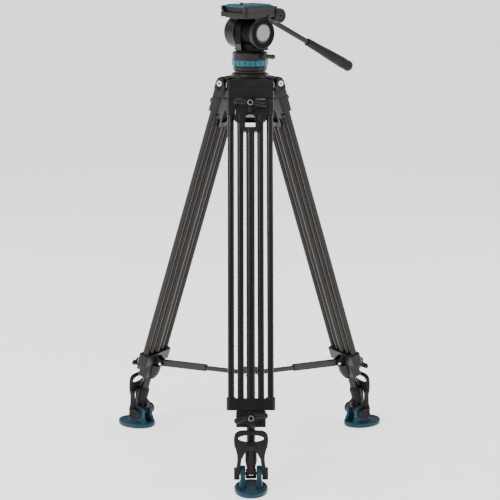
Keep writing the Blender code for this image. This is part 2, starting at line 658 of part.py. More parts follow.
def add_legs(root):
    shapes = {
        "shoulder": shoulder_mesh(),
        "pivot_axle": pivot_axle_mesh(),
        "outer_tubes": tubes_mesh(OUTER_X, -20.4, COLLAR_Z[1] + 5.4, OUTER_TIE_Z),
        "collar": collar_mesh(),
        "middle_bracket": middle_bracket_mesh(),
        "middle_tubes": tubes_mesh(MIDDLE_X, -48.4, BLOCK_Z[1] + 12.4, MIDDLE_TIE_Z),
        "middle_block": middle_block_mesh(),
        "lower_tube": lower_tube_mesh(),
        "foot_boot": foot_boot_mesh(),
        "knob": lock_knob_mesh(),
        "foot_pad": foot_pad_mesh(),
        "foot_strap": foot_strap_mesh(),
        "arm_outer": arm_outer_mesh(),
    }
    for side, azimuth in LEGS.items():
        add_leg(side, azimuth, root, shapes)
    add_part("spreader_hub", hub_mesh(), "cast_black", root, (0, 0, HUB_Z))


def add_crown(root):
    add_part("spider", spider_mesh(), "cast_black", root)
    ball = add_frame("ball_frame", root, (0, 0, BALL_Z), (0, 0, 0))
    add_part("half_ball", half_ball_mesh(), "cast_black", ball)
    add_part("tie_down_knob", tie_down_knob_mesh(), "black_plastic", ball)


def add_head(root):
    head = add_frame("head_frame", root, (0, 0, 0), (0, 0, HEAD_YAW))
    add_part("drag_ring", drag_ring_mesh(), "blue_metal", head)
    add_part("pan_base", pan_base_mesh(), "cast_black", head)
    lever_frame = add_frame("pan_lever_frame", head, (0, 0, 826.5), (0, 0, 3.3))
    add_part("pan_lever", pan_lever_mesh(), "black_plastic", lever_frame, (36.6, 0, 0))

    tilt = add_frame("tilt_frame", head, (0, 0, TILT_Z), (0, 0, 0))
    add_part("tilt_housing", tilt_housing_mesh(), "black_plastic", tilt)
    level = Matrix.Translation((0, 0, -TILT_Z))
    add_part("tilt_cradle", moved(tilt_cradle_mesh(), level), "cast_black", tilt)
    add_part("quick_plate", quick_plate_mesh(), "blue_metal", head)
    add_part("camera_screw", camera_screw_mesh(), "steel", head, (0, -22, 0))
    add_part("plate_knob", plate_knob_mesh(), "black_plastic", head, (0, 46.5, 906))
    add_part("tilt_lock", tilt_lock_mesh(), "black_plastic", head, LOCK_END, (0, 0, LOCK_TURN))

    bar = add_frame("bar_frame", head, BAR_HINGE, (0, 0, 0))
    add_part("pan_bar", pan_bar_mesh(), "tube", bar)
    add_part("grip", grip_mesh(), "rubber", bar, (-6, 0, 0), (-90 - BAR_DROP, 0, 0))


def main():
    clear_scene()
    root = add_frame("tripod", None, (0, AXIS_Y, 0), (0, 0, 0))
    add_crown(root)
    add_legs(root)
    add_head(root)


main()
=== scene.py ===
"""Visual model of a video tripod with a fluid head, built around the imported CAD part.

Lengths are in millimetres in the part's own frames: each leg, foot, arm and the head has a
frame, and add_piece turns a shape into metres and places it in one of them.
"""

import math

import bmesh
import bpy
from mathutils import Matrix, Vector


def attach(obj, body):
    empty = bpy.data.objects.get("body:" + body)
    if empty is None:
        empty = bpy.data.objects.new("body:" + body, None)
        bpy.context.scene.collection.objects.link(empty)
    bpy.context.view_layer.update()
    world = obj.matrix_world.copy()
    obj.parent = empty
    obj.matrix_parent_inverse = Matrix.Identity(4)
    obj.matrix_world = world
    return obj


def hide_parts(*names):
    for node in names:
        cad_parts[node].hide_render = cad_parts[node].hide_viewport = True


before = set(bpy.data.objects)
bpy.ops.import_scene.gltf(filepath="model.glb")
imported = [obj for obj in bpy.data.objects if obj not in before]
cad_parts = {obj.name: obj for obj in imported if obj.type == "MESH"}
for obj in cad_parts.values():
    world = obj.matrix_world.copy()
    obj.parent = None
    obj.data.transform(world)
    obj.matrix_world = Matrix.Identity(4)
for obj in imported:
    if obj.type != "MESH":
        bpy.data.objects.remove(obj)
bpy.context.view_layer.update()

# --- dimensions, mm
MM = 0.001
AXIS_Y = 35.06
LEGS = {"front": -90.0, "right": 30.0, "left": 150.0}
LEAN = 17.9
PIVOT_R, PIVOT_Z = 44.4, 771.0
OUTER_X, MIDDLE_X = 39.0, 20.0
TUBE_R, CENTRE_R = 6.5, 8.5
UPPER_KNOB_Z, LOWER_KNOB_Z = -40.5, -666.2
KNOB_FACE = 22.0
UPPER_KNOB_IN = 11.7
ARM_PIN = (25.0, -645.0)
HUB_PIVOT_R, HUB_Z = 16.0, 157.0
FOOT_R, FOOT_Z = 274.0, 32.3
PAD_CENTRE_R, PAD_LONG, PAD_SHORT = 287.3, 43.0, 33.0
HEAD_YAW = -50.3
BALL_Z, TILT_Z = 799.0, 872.0
DECK_LOW, DECK_TOP, RAIL_TOP, PLATE_TOP = 904.6, 919.0, 926.4, 929.5
LOCK_END, LOCK_TURN = (44.5, 15.2, 903.0), 24.3
BAR_HINGE = (-48.3, 62.0, 908.6)
BAR_DROP, BAR_LENGTH, GRIP_START = 26.1, 300.0, 158.0
BAR_X = -6.0
SCREW_Y, LEVER_Z, LEVER_R = -22.0, 826.5, 36.6
PLATE_KNOB = (0.0, 46.5, 906.0)
RING_RIBS = 20
HEX_SOCKET_SIDES = 6

# Degrees between two faces, above which an edge is rounded, and above which it shades sharp.
SHARP_EDGE, SHARP_SHADE = 32.0, 38.0
PATH_STEPS = 4

# --- stage, metres and degrees
FLOOR_HALF = 60.0
CAMERA_PLACE = (0.0, -3.399, 1.1411)
CAMERA_DIP, CAMERA_YAW = 11.93, -0.42
CAMERA_LENS, CAMERA_SENSOR = 120.5, 36.0


def rotation(degrees, axis):
    return Matrix.Rotation(math.radians(degrees), 4, axis)


def offset(point):
    return Matrix.Translation([v * MM for v in point])


# --- shape helpers
def to_mesh(bm):
    bmesh.ops.recalc_face_normals(bm, faces=bm.faces)
    if bm.calc_volume(signed=True) < 0:
        bmesh.ops.reverse_faces(bm, faces=bm.faces)
    mesh = bpy.data.meshes.new("shape")
    bm.to_mesh(mesh)
    bm.free()
    return mesh


def softened(bm, width):
    """The same bmesh with its sharp edges rounded."""
    bmesh.ops.recalc_face_normals(bm, faces=bm.faces)
    limit = math.radians(SHARP_EDGE)
    edges = [e for e in bm.edges if e.is_manifold and abs(e.calc_face_angle(0)) > limit]
    if width > 0 and edges:
        bmesh.ops.bevel(bm, geom=edges, offset=width, offset_type="OFFSET", segments=3,
                        profile=0.5, affect="EDGES", clamp_overlap=True)
    return bm


def arc(centre, radius, start, end, steps):
    angles = [math.radians(start + (end - start) * i / steps) for i in range(steps + 1)]
    return [(centre[0] + radius * math.cos(a), centre[1] + radius * math.sin(a)) for a in angles]


def rounded(points, radius, steps=6):
    """A closed outline with its corners rounded. radius is one number or one for each point."""
    made, count = [], len(points)
    for i, corner in enumerate(points):
        here = Vector(corner)
        before, after = Vector(points[i - 1]) - here, Vector(points[(i + 1) % count]) - here
        wanted = radius[i] if hasattr(radius, "__len__") else radius
        reach = 0.0
        if wanted and before.length > 0.01 and after.length > 0.01:
            bend = before.angle(after)
            reach = wanted / math.tan(bend / 2) if 0.02 < bend < 3.10 else 0.0
            reach = min(reach, before.length * 0.48, after.length * 0.48)
        if reach <= 0.01:
            made.append(tuple(here))
            continue
        start, end = here + before.normalized() * reach, here + after.normalized() * reach
        for k in range(steps + 1):
            t = k / steps
            made.append(tuple(start * (1 - t) ** 2 + here * 2 * t * (1 - t) + end * t * t))
    return made


def oblong(x, y, corner=2.0, steps=6):
    return rounded([(x[0], y[0]), (x[1], y[0]), (x[1], y[1]), (x[0], y[1])], corner, steps)


def ellipse(centre, rx, ry, steps=32):
    angles = [math.tau * i / steps for i in range(steps)]
    points = [Vector((rx * math.cos(a), ry * math.sin(a))) for a in angles]
    return [(centre[0] + p.x, centre[1] + p.y) for p in points]


def raw_prism(outline, low, high, axis):
    place = {"X": lambda p, t: (t, *p), "Y": lambda p, t: (p[0], t, p[1]), "Z": lambda p, t: (*p, t)}
    bm = bmesh.new()
    face = bm.faces.new([bm.verts.new(place[axis](point, low)) for point in outline])
    new = bmesh.ops.extrude_face_region(bm, geom=[face])["geom"]
    shift = Vector(place[axis]((0.0, 0.0), high - low))
    bmesh.ops.translate(bm, vec=shift, verts=[v for v in new if isinstance(v, bmesh.types.BMVert)])
    return bm


def carve(mesh, tools):
    """The shape with the tools cut away by exact Booleans."""
    def helper(shape):
        obj = bpy.data.objects.new("helper", shape)
        bpy.context.scene.collection.objects.link(obj)
        return obj
    body, helpers = helper(mesh), []
    for tool in tools:
        helpers.append(helper(tool))
        step = body.modifiers.new("cut", "BOOLEAN")
        step.operation, step.solver, step.object = "DIFFERENCE", "EXACT", helpers[-1]
    bpy.context.view_layer.update()
    result = bpy.data.meshes.new_from_object(body.evaluated_get(bpy.context.evaluated_depsgraph_get()))
    for obj in [body] + helpers:
        bpy.data.objects.remove(obj)
    return result


def slab(outline, low, high, axis, rim=0.6, holes=()):
    """An outline extruded along an axis, with holes through it and rounded rims."""
    body = to_mesh(raw_prism(outline, low, high, axis))
    if holes:
        cutters = [to_mesh(raw_prism(hole, low - 5, high + 5, axis)) for hole in holes]
        body = carve(body, cutters)
    bm = bmesh.new()
    bm.from_mesh(body)
    return to_mesh(softened(bm, rim))


def box(x, y, z, corner=1.5, rim=0.6, axis="Z"):
    """A block with rounded corners along one axis and rounded rims."""
    spans = {"X": (y, z, x), "Y": (x, z, y), "Z": (x, y, z)}[axis]
    return slab(oblong(spans[0], spans[1], corner), *sorted(spans[2]), axis, rim)


def turned(profile, sides=72, radius=0.4):
    """A profile of (radius, z) points turned about z, with its corners rounded.

    One that starts off the axis is closed into a ring.
    """
    ring = profile[0][0] > 0.01
    radii = radius if ring else [0] + [radius] * (len(profile) - 2) + [0]
    bm = bmesh.new()
    verts = [bm.verts.new((r, 0.0, z)) for r, z in rounded(list(profile), radii, 4)]
    pairs = list(zip(verts, verts[1:] + verts[:1])) if ring else list(zip(verts, verts[1:]))
    edges = [bm.edges.new(pair) for pair in pairs]
    bmesh.ops.spin(bm, geom=verts + edges, axis=(0, 0, 1), cent=(0, 0, 0), dvec=(0, 0, 0),
                   angle=math.tau, steps=sides, use_merge=True, use_duplicate=False)
    bmesh.ops.remove_doubles(bm, verts=bm.verts, dist=0.002)
    return to_mesh(bm)


def tube_ring(inner, outer, start, end, sides, radius):
    """A ring, or a disc if inner is 0, about z between two heights."""
    return turned([(inner, start), (outer, start), (outer, end), (inner, end)], sides, radius)


def swept(path, radii, sides=24):
    """A round bar along a path, with a radius at each of its points and rounded ends."""
    path = [Vector(p) for p in path]
    rings, bm = [], bmesh.new()
    for i, point in enumerate(path):
        ahead = path[min(i + 1, len(path) - 1)] - path[max(i - 1, 0)]
        turn = Vector((0, 0, 1)).rotation_difference(ahead).to_matrix()
        ring = [bm.verts.new(point + turn @ Vector((radii[i] * math.cos(math.tau * k / sides),
                                                     radii[i] * math.sin(math.tau * k / sides), 0)))
                for k in range(sides)]
        rings.append(ring)
    for a, b in zip(rings, rings[1:]):
        for k in range(sides):
            bm.faces.new([a[k], a[(k + 1) % sides], b[(k + 1) % sides], b[k]])
    bm.faces.new(rings[0][::-1])
    bm.faces.new(rings[-1])
    return to_mesh(bm)


def bar(start, end, radius, end_radius=None, cap=0.6, sides=40):
    """A straight round bar with softened ends."""
    start, end = Vector(start), Vector(end)
    last = radius if end_radius is None else end_radius
    run = (end - start).normalized()
    path, radii = [], []
    for k in range(4):
        bend = math.radians(90 * k / 3)
        path.append(start + run * cap * (1 - math.sin(bend)))
        radii.append(radius - cap * (1 - math.cos(bend)) if cap else radius)
    path, radii = path[::-1], radii[::-1]
    for k in range(4):
        bend = math.radians(90 * k / 3)
        path.append(end - run * cap * (1 - math.sin(bend)))
        radii.append(last - cap * (1 - math.cos(bend)))
    return swept(path, radii, sides)


def loft(path, width, height, corner):
    """A rounded-rectangle bar along a path: width across, height along the given normals."""
    bm, rings = bmesh.new(), []
    for (point, normal), wide, tall in zip(path, width, height):
        point, normal = Vector(point), Vector(normal).normalized()
        outline = oblong((-wide / 2, wide / 2), (-tall / 2, tall / 2), corner, 8)
        rings.append([bm.verts.new(point + Vector((u, 0, 0)) + normal * v) for u, v in outline])
    count = len(rings[0])
    for a, b in zip(rings, rings[1:]):
        for k in range(count):
            bm.faces.new([a[k], a[(k + 1) % count], b[(k + 1) % count], b[k]])
    bm.faces.new(rings[0][::-1])
    bm.faces.new(rings[-1])
    return to_mesh(bm)


def moved(mesh, matrix):
    mesh = mesh.copy()
    mesh.transform(matrix)
    if matrix.determinant() < 0:
        mesh.flip_normals()
    return mesh


def mirrored(mesh):
    """The shape and its mirror image across x = 0."""
    return [mesh, moved(mesh, Matrix.Scale(-1, 4, (1, 0, 0)))]


def joined(shapes):
    bm = bmesh.new()
    for shape in shapes:
        bm.from_mesh(shape)
    mesh = bpy.data.meshes.new("joined")
    bm.to_mesh(mesh)
    bm.free()
    return mesh


def along(mesh, axis):
    """A shape turned about z, laid so that its z runs along x or y."""
    turns = {"X": ("Y", 90), "-X": ("Y", -90), "Y": ("X", -90), "-Y": ("X", 90)}
    about, angle = turns[axis]
    return moved(mesh, rotation(angle, about))


def shifted(mesh, x=0.0, y=0.0, z=0.0):
    return moved(mesh, Matrix.Translation((x, y, z)))


def hexagon(radius, low, high, axis):
    return to_mesh(raw_prism(ellipse((0, 0), radius, radius, HEX_SOCKET_SIDES), low, high, axis))


def repeated(mesh, count, axis, first=0.0):
    """Copies of a shape around an axis, all turned on by a share of one step."""
    return [moved(mesh, Matrix.Rotation(math.tau * (i + first) / count, 4, axis)) for i in range(count)]


def socket_head(radius, thick, hole):
    """A low round head with a hexagon socket, facing up z from z = 0."""
    head = tube_ring(0, radius, thick, 0, 48, 0.5)
    return carve(head, [hexagon(hole, thick * 0.35, thick + 2, "Z")])


# --- materials
def finish(name, colour, rough, metallic=0.0, vary=0.12, grain=0.15, size=0.6, stretch=(1, 1, 1),
           specular=0.5):
    """A procedural finish: a base colour that drifts a little, uneven gloss and fine relief.

    size is the relief's grain in mm, and stretch draws it out along an axis of the piece.
    """
    made = bpy.data.materials.new(name)
    made.use_nodes = True
    tree = made.node_tree
    surface = tree.nodes["Principled BSDF"]
    surface.inputs["Metallic"].default_value = metallic
    surface.inputs["Specular IOR Level"].default_value = specular

    place = tree.nodes.new("ShaderNodeTexCoord")
    spread = tree.nodes.new("ShaderNodeMapping")
    spread.inputs["Scale"].default_value = stretch
    tree.links.new(place.outputs["Object"], spread.inputs["Vector"])

    def noise(scale, detail, rough_noise=0.55, vector=spread):
        node = tree.nodes.new("ShaderNodeTexNoise")
        node.inputs["Scale"].default_value = scale
        node.inputs["Detail"].default_value = detail
        node.inputs["Roughness"].default_value = rough_noise
        tree.links.new(vector.outputs[0], node.inputs["Vector"])
        return node

    broad, fine = noise(38.0, 3.0), noise(1000.0 / size, 4.0)
    wear = noise(210.0, 5.0, 0.7)

    def mapped(source, low, high, start=0.3, end=0.7):
        node = tree.nodes.new("ShaderNodeMapRange")
        node.inputs["From Min"].default_value = start
        node.inputs["From Max"].default_value = end
        node.inputs["To Min"].default_value = low
        node.inputs["To Max"].default_value = high
        tree.links.new(source, node.inputs["Value"])
        return node.outputs["Result"]

    tint = tree.nodes.new("ShaderNodeMix")
    tint.data_type = "RGBA"
    tint.inputs["A"].default_value = (*[c * (1 - vary) for c in colour], 1)
    tint.inputs["B"].default_value = (*[c * (1 + vary) for c in colour], 1)
    tree.links.new(mapped(broad.outputs["Fac"], 0.0, 1.0), tint.inputs["Factor"])
    scuff = tree.nodes.new("ShaderNodeMix")
    scuff.data_type = "RGBA"
    scuff.inputs["B"].default_value = (*[c * 1.5 + 0.012 for c in colour], 1)
    tree.links.new(mapped(wear.outputs["Fac"], 0.0, 0.55, 0.60, 0.78), scuff.inputs["Factor"])
    tree.links.new(tint.outputs["Result"], scuff.inputs["A"])
    tree.links.new(scuff.outputs["Result"], surface.inputs["Base Color"])

    gloss = tree.nodes.new("ShaderNodeMath")
    gloss.operation = "ADD"
    tree.links.new(mapped(broad.outputs["Fac"], rough - 0.05, rough + 0.05), gloss.inputs[0])
    tree.links.new(mapped(fine.outputs["Fac"], -0.04, 0.06), gloss.inputs[1])
    tree.links.new(gloss.outputs["Value"], surface.inputs["Roughness"])

    relief = tree.nodes.new("ShaderNodeBump")
    relief.inputs["Strength"].default_value = grain
    relief.inputs["Distance"].default_value = 0.0004
    tree.links.new(fine.outputs["Fac"], relief.inputs["Height"])
    tree.links.new(relief.outputs["Normal"], surface.inputs["Normal"])
    return made


LOOKS = {
    "cast_black": finish("cast_black", (0.0075, 0.0070, 0.0067), 0.38, 0.0, 0.15, 0.30, 0.9, specular=0.32),
    "black_plastic": finish("black_plastic", (0.0062, 0.0058, 0.0056), 0.34, 0.0, 0.12, 0.22, 0.6,
                            specular=0.30),
    # Nearly black with little gloss; on the tilt housing this colour also paints the shade that falls under
    # the platform.
    "deep_black": finish("deep_black", (0.0025, 0.0024, 0.0023), 0.50, 0.0, 0.15, 0.25, 0.6, specular=0.10),
    "gloss_black": finish("gloss_black", (0.0030, 0.0030, 0.0030), 0.14, 0.0, 0.10, 0.05, 0.6),
    "dark_metal": finish("dark_metal", (0.018, 0.0168, 0.0160), 0.34, 0.4, 0.14, 0.18, 0.7, specular=0.35),
    "tube": finish("tube", (0.030, 0.0275, 0.0255), 0.25, 0.80, 0.12, 0.16, 0.5, (1, 1, 0.03)),
    "arm_metal": finish("arm_metal", (0.030, 0.028, 0.026), 0.36, 0.6, 0.12, 0.15, 0.5, (1, 0.03, 1)),
    "rubber": finish("rubber", (0.0060, 0.0057, 0.0055), 0.55, 0.0, 0.15, 0.40, 0.8, specular=0.25),
    "blue_plastic": finish("blue_plastic", (0.013, 0.048, 0.074), 0.36, 0.0, 0.22, 0.08, 1.4, specular=0.16),
    "blue_metal": finish("blue_metal", (0.026, 0.120, 0.160), 0.28, 0.75, 0.20, 0.20, 0.6),
    # Darker blue for the drag ring's notches: painted shade.
    "notch_shade_blue": finish("notch_shade_blue", (0.008, 0.045, 0.062), 0.35, 0.4, 0.20, 0.20, 0.6),
    "steel": finish("steel", (0.72, 0.71, 0.69), 0.24, 1.0, 0.06, 0.10, 0.4),
    "badge": finish("badge", (0.27, 0.26, 0.25), 0.38, 0.4, 0.05, 0.35, 0.5),
    "pale_plastic": finish("pale_plastic", (0.24, 0.235, 0.228), 0.35, 0.0, 0.10, 0.10, 0.7),
    "grey_metal": finish("grey_metal", (0.060, 0.057, 0.054), 0.32, 0.6, 0.12, 0.14, 0.6),
}


# --- placing pieces
def at(location, *turns):
    """A frame in millimetres on the tripod's axis, turned by (angle, axis) pairs in order."""
    matrix = Matrix.Translation((location[0] * MM, (location[1] + AXIS_Y) * MM, location[2] * MM))
    for angle, axis in turns:
        matrix = matrix @ rotation(angle, axis)
    return matrix


def around(azimuth, radius, z):
    turn = math.radians(azimuth)
    return (radius * math.cos(turn), radius * math.sin(turn), z)


def add_piece(name, shapes, look, body, place, stands_for=(), level=False):
    """One visible piece: its shapes joined, placed in a frame and riding on a CAD body.

    A level piece is turned in its mesh, so that its box lies along the object's own axes.
    """
    mesh = joined(shapes)
    mesh.transform(Matrix.Scale(MM, 4))
    if level:
        mesh.transform(place.to_3x3().to_4x4())
        place = Matrix.Translation(place.translation)
    mesh.materials.append(LOOKS[look])
    mesh.shade_smooth()
    mesh.set_sharp_from_angle(angle=math.radians(SHARP_SHADE))
    obj = bpy.data.objects.new(name, mesh)
    bpy.context.scene.collection.objects.link(obj)
    obj.matrix_world = place
    obj.modifiers.new("even", "WEIGHTED_NORMAL").keep_sharp = True
    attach(obj, body)
    if stands_for:
        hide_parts(*stands_for)
    return obj


# --- leg, section 1
def shoulder_shapes():
    outline = [(-9.4, -14), (12, -14), (12, -2)] + arc((0, 0), 10, 30, 140, 12) + [(-9.4, 2)]
    ear = slab(rounded(outline, 1, 3), 37, 47, "X", 1.6)
    cheek = slab(rounded([(29.6, -9.4), (47, -9.4), (47, 12), (29.6, 12)], [0.5, 7, 5, 0.5], 8),
                 -61.8, -29.8, "Z", 0.9)
    upper_cheek = slab(rounded([(34, -9.8), (47, -9.8), (47, 12), (36.8, 12), (36.8, -7)],
                               [0.5, 7, 5, 0.5, 0.5], 8), -29.0, 1, "Z", 0.9)
    bead = bar((42.2, -5.3, -61.0), (42.2, -5.3, -30.2), 4.5)
    upper_bead = bar((42.2, -5.5, -28.6), (42.2, -5.5, 3.0), 4.5, 4.2, 2.0)
    rib = box((31.5, 34.0), (-10.2, -7.4), (-28.8, 6.4), 0.6, 0.5)
    inner_rib = box((29.6, 32.2), (-10.0, -5), (-61.4, -30.2), 0.6, 0.5)
    back = box((30, 46.8), (8.6, 12), (-29, -13), 1.0, 0.6)
    parts = []
    for shape in (ear, cheek, upper_cheek, bead, upper_bead, rib, inner_rib, back):
        parts += mirrored(shape)
    parts.append(box((-38, 38), (-9.5, -7.3), (-29.0, -7.2), 0.8, 0.5, "Y"))
    parts.append(slab(rounded([(-44, -5.2), (44, -5.2), (44, 6.6), (40, 9.6), (-40, 9.6), (-44, 6.6)], 1.5),
                      -9.4, -7.3, "Y", 0.7))
    parts.append(box((-38, 38), (-8.2, -7.3), (-8.5, -4.0), 0.2, 0.1, "Y"))
    parts.append(box((-37, 37), (-7.4, 11.6), (-29.0, -14.2), 0.8, 0.6, "Y"))
    return parts


def tube_pair_shapes(x, high, low):
    return mirrored(bar((x, 0, low), (x, 0, high), TUBE_R, cap=0.4, sides=48))


def collar_shapes():
    high, low = -626.5, -650.4
    plan = rounded([(-48, -7.5), (-43.5, -12), (43.5, -12), (48, -7.5), (48, 9), (45, 12), (-45, 12),
                    (-48, 9)], 1.6, 5)
    holes = [ellipse((side * MIDDLE_X, 0), TUBE_R + 0.4, TUBE_R + 0.4) for side in (-1, 1)]
    holes.append(ellipse((0, 0), CENTRE_R + 0.4, CENTRE_R + 0.4, 40))
    shell = slab(plan, low, high, "Z", 1.0, holes)
    pin_y, pin_z = ARM_PIN
    outline = [(10, low + 1), (pin_y, low)] + arc((pin_y, pin_z), 6, -50, 90, 12) + [(10, pin_z + 12)]
    ears = mirrored(slab(outline, 6.5, 10, "X", 0.6))
    ring = turned([(8.2, high + 2.2), (9.0, high + 2.2), (9.6, high - 1), (6.6, high - 1)], 48, 0.3)
    seats = [shifted(ring, side * OUTER_X) for side in (-1, 1)]
    return [shell] + ears + seats


# --- leg, section 2
def middle_bracket_shapes():
    high, low = -31.7, -76.1
    outline = [(-29.3, high), (29.3, high), (29.3, -62.6), (33.3, -62.6), (33.3, -69), (27, low),
               (12.9, low), (12.9, -59.5), (-12.9, -59.5), (-12.9, low), (-27, low),
               (-33.3, -69), (-33.3, -62.6), (-29.3, -62.6)]
    body = slab(rounded(outline, 1.0, 4), -9.0, 10.8, "Y", 0.9)
    raised = slab(rounded([(-26, -33.5), (26, -33.5), (26, -58), (14, -62), (12.8, -60), (-12.8, -60),
                           (-14, -62), (-26, -58)], 1.5, 4), -9.6, -8.4, "Y", 0.5)
    lugs = mirrored(shifted(turned([(0, -62.6), (9.5, -62.6), (9.5, -72), (8.2, low + 0.2), (0, low + 0.2)],
                                   48, 0.8), MIDDLE_X))
    return [body, raised] + lugs


def middle_block_shapes():
    high, low = -650.8, -683.4
    body = slab(oblong((-29.4, 29.4), (-10.2, 10.6), 3.0), low, high, "Z", 1.0)
    sleeves = mirrored(shifted(tube_ring(0, 9.4, high, low, 56, 0.9), MIDDLE_X, -1.4))
    middle = shifted(tube_ring(0, 11.5, high, low + 0.4, 56, 0.8), 0, 0.6)
    bulge = shifted(turned([(0, high - 3), (13.8, high - 3), (13.8, high - 16), (12.4, low + 7),
                            (9.0, low - 1), (5.0, low - 6.6), (0, low - 8.2)], 72, 1.5), 0, 9)
    cover = box((-27, 27), (-9, 10), (high - 3, high + 0.3), 2, 0.2)
    boss = along(turned([(0, KNOB_FACE - 0.4), (9.6, KNOB_FACE - 0.4), (10, 14), (10, 8), (0, 8)], 56, 0.6),
                 "-Y")
    parts = [body, middle, bulge, cover, shifted(boss, z=LOWER_KNOB_Z)] + sleeves
    return [carve(part, [bar((0, 0, low - 9), (0, 0, high + 9), CENTRE_R + 0.3)]) for part in parts]


def knob_shapes():
    """Wing knob about y: two arms with round ends, a shorter tail and a domed middle."""
    depth = -KNOB_FACE - 5.0
    hub = along(turned([(0, 38), (4.6, 38), (6.6, 35.6), (8.0, 32), (9.0, 27.5), (9.0, 22.2), (0, 22.2)],
                       56, 0.9), "-Y")
    hub = carve(hub, [hexagon(2.5, -40, -33, "Y")])
    web = slab(rounded([(-26, 4.6), (-7, 9.4), (7, 9.4), (26, 4.6), (26, -4.0), (10, -7.5), (4, -17),
                        (-4, -17), (-10, -7.5), (-26, -4.0)], [1, 5, 5, 1, 1, 8, 2, 2, 8, 1], 6),
               -28.4, -KNOB_FACE, "Y", 2.2)
    wing = swept([(6, 0, 1.5), (14, 0, 0.8), (20, 0, 0.4), (24, 0, 0.2), (27, 0, 0.1), (30, 0, 0),
                  (32.4, 0, 0), (33.9, 0, 0)], [5.2, 4.6, 4.4, 5.2, 6.1, 6.0, 4.4, 1.0], 28)
    flatter = Matrix.Translation((0, depth, 0)) @ Matrix.Scale(0.8, 4, (0, 1, 0))
    arms = mirrored(moved(wing, flatter))
    tail = swept([(0, depth, -4), (0, depth, -11), (0, depth, -15), (0, depth, -17.6), (0, depth, -18.8)],
                 [4.4, 4.0, 3.8, 2.9, 0.7], 28)
    return [hub, web, tail] + arms


def knob_screw_shapes():
    return [along(turned([(5.2, 37.3), (5.2, 38.0), (3.1, 38.0), (3.1, 37.3)], 48, 0.2), "-Y")]


# --- leg, section 3
def guide_shapes():
    outline = rounded([(-12, -60.4), (12, -60.4), (12, -77.2), (19.3, -77.2), (19.3, -88), (16, -96.1),
                       (-16, -96.1), (-19.3, -88), (-19.3, -77.2), (-12, -77.2)], 1.0, 4)
    window = rounded([(-10, -86.8), (10, -86.8), (10, -68.2), (-10, -68.2)], 1.0, 4)
    grooves = [ellipse((side * MIDDLE_X, 0), TUBE_R + 0.5, TUBE_R + 0.5) for side in (-1, 1)]
    cutters = [to_mesh(raw_prism(groove, -99, -59, "Z")) for groove in grooves]
    body = carve(slab(outline, -9.6, 9.8, "Y", 0.8, [window]), cutters)
    neck = tube_ring(0, 10.6, -90, -95.9, 56, 0.8)
    return [body, neck]


def half_moon_shapes():
    curve = [(x, -67.5 + 0.62 * z) for x, z in arc((0, 0), 9.0, 4, 176, 28)]
    return [slab([(9.0, -67.7)] + curve + [(-9.0, -67.7)], -10.6, -9.0, "Y", 0.5)]


def boot_shapes():
    lower = turned([(0, -716.2), (9.4, -716.2), (10.2, -717.4), (10.2, -719.4), (9.8, -720.2),
                    (11.6, -722.4), (11.6, -750), (10.8, -753), (8.6, -762), (7.8, -775.6), (0, -775.6)],
                   64, 0.8)
    pin_y, pin_z = foot_axis_in_leg()
    cup = bar((-10.4, pin_y, pin_z), (10.4, pin_y, pin_z), 9.8, cap=1.2)
    hook = slab(rounded([(6, -740), (19, -746), (21, -760), (18, -760), (16, -749), (6, -748)], 1.2, 4),
                -5.5, 5.5, "X", 1.0)
    face = slab(rounded([(-7.4, -757), (7.4, -757), (8.0, -776), (-8.0, -776)], 1.5, 4), -9.2, -2, "Y", 1.2)
    rib = slab(rounded([(-6, -771), (-9.2, -771), (-12, -762), (-19.2, -727), (-18.2, -721.4), (-6, -721.4)],
                       [1, 1.5, 8, 3, 2, 1], 5), -3.8, 3.8, "X", 1.2)
    bands = [tube_ring(8.4, 11.9, z + 0.9, z - 0.9, 64, 0.5) for z in (-726, -746)]
    return [lower, cup, hook, face, rib] + bands


def boot_tip_shapes():
    """Metal tip at the lower edge of the boot's flat face."""
    return [bar((-4.2, -7.6, -776.2), (4.2, -7.6, -776.2), 1.5, cap=0.8, sides=24)]


def foot_pin_shapes():
    pin_y, pin_z = foot_axis_in_leg()
    return [bar((-33, pin_y, pin_z), (33, pin_y, pin_z), 2.9, cap=0.4)]


def foot_axis_in_leg():
    out, down = FOOT_R - PIVOT_R, PIVOT_Z - FOOT_Z
    lean = math.radians(LEAN)
    return down * math.sin(lean) - out * math.cos(lean), -(out * math.sin(lean) + down * math.cos(lean))


# --- foot
def pad_shapes():
    """Oval pad with a rounded rim and a dished top, and two ears that flare into it."""
    profile = [(0, 9.6), (0.66, 9.6), (0.80, 10.6), (0.90, 11.4), (0.965, 10.9), (1.0, 8.6), (0.995, 3.0),
               (0.97, 0.6), (0.94, 0.0), (0, 0.0)]
    sole = turned([(r * 40, z) for r, z in profile], 96, 0.5)
    place = Matrix.Translation((0, FOOT_R - PAD_CENTRE_R, -FOOT_Z)) @ Matrix.Diagonal(
        (PAD_SHORT / 40, PAD_LONG / 40, 1, 1))
    base = 9.0 - FOOT_Z
    side = rounded([(-25, base), (21, base), (15.4, -11)] + arc((0, 0), 15.9, 10, 170, 16) + [(-17.5, -11)],
                   [0, 0, 5] + [0] * 17 + [5], 4)
    ears = mirrored(slab(side, 11, 21, "X", 2.2))
    root = slab(rounded([(9.5, base), (24.5, base), (21.0, base + 6), (11.0, base + 6)], [0, 0, 3, 3], 5),
                -21, 16, "Y", 1.2)
    return [moved(sole, place)] + ears + mirrored(root)


def leaf_line(height):
    turns = [(-4, -9, -4), (12, -10.5, 12), (50, -10, 50), (60, -9.5, 60), (84, -6, 84), (95, -1, 89)]
    for (h0, y0, z0), (h1, y1, z1) in zip(turns, turns[1:]):
        if height <= h1 + 0.01:
            t = (height - h0) / (h1 - h0)
            return y0 + (y1 - y0) * t, z0 + (z1 - z0) * t
    return turns[-1][1:]


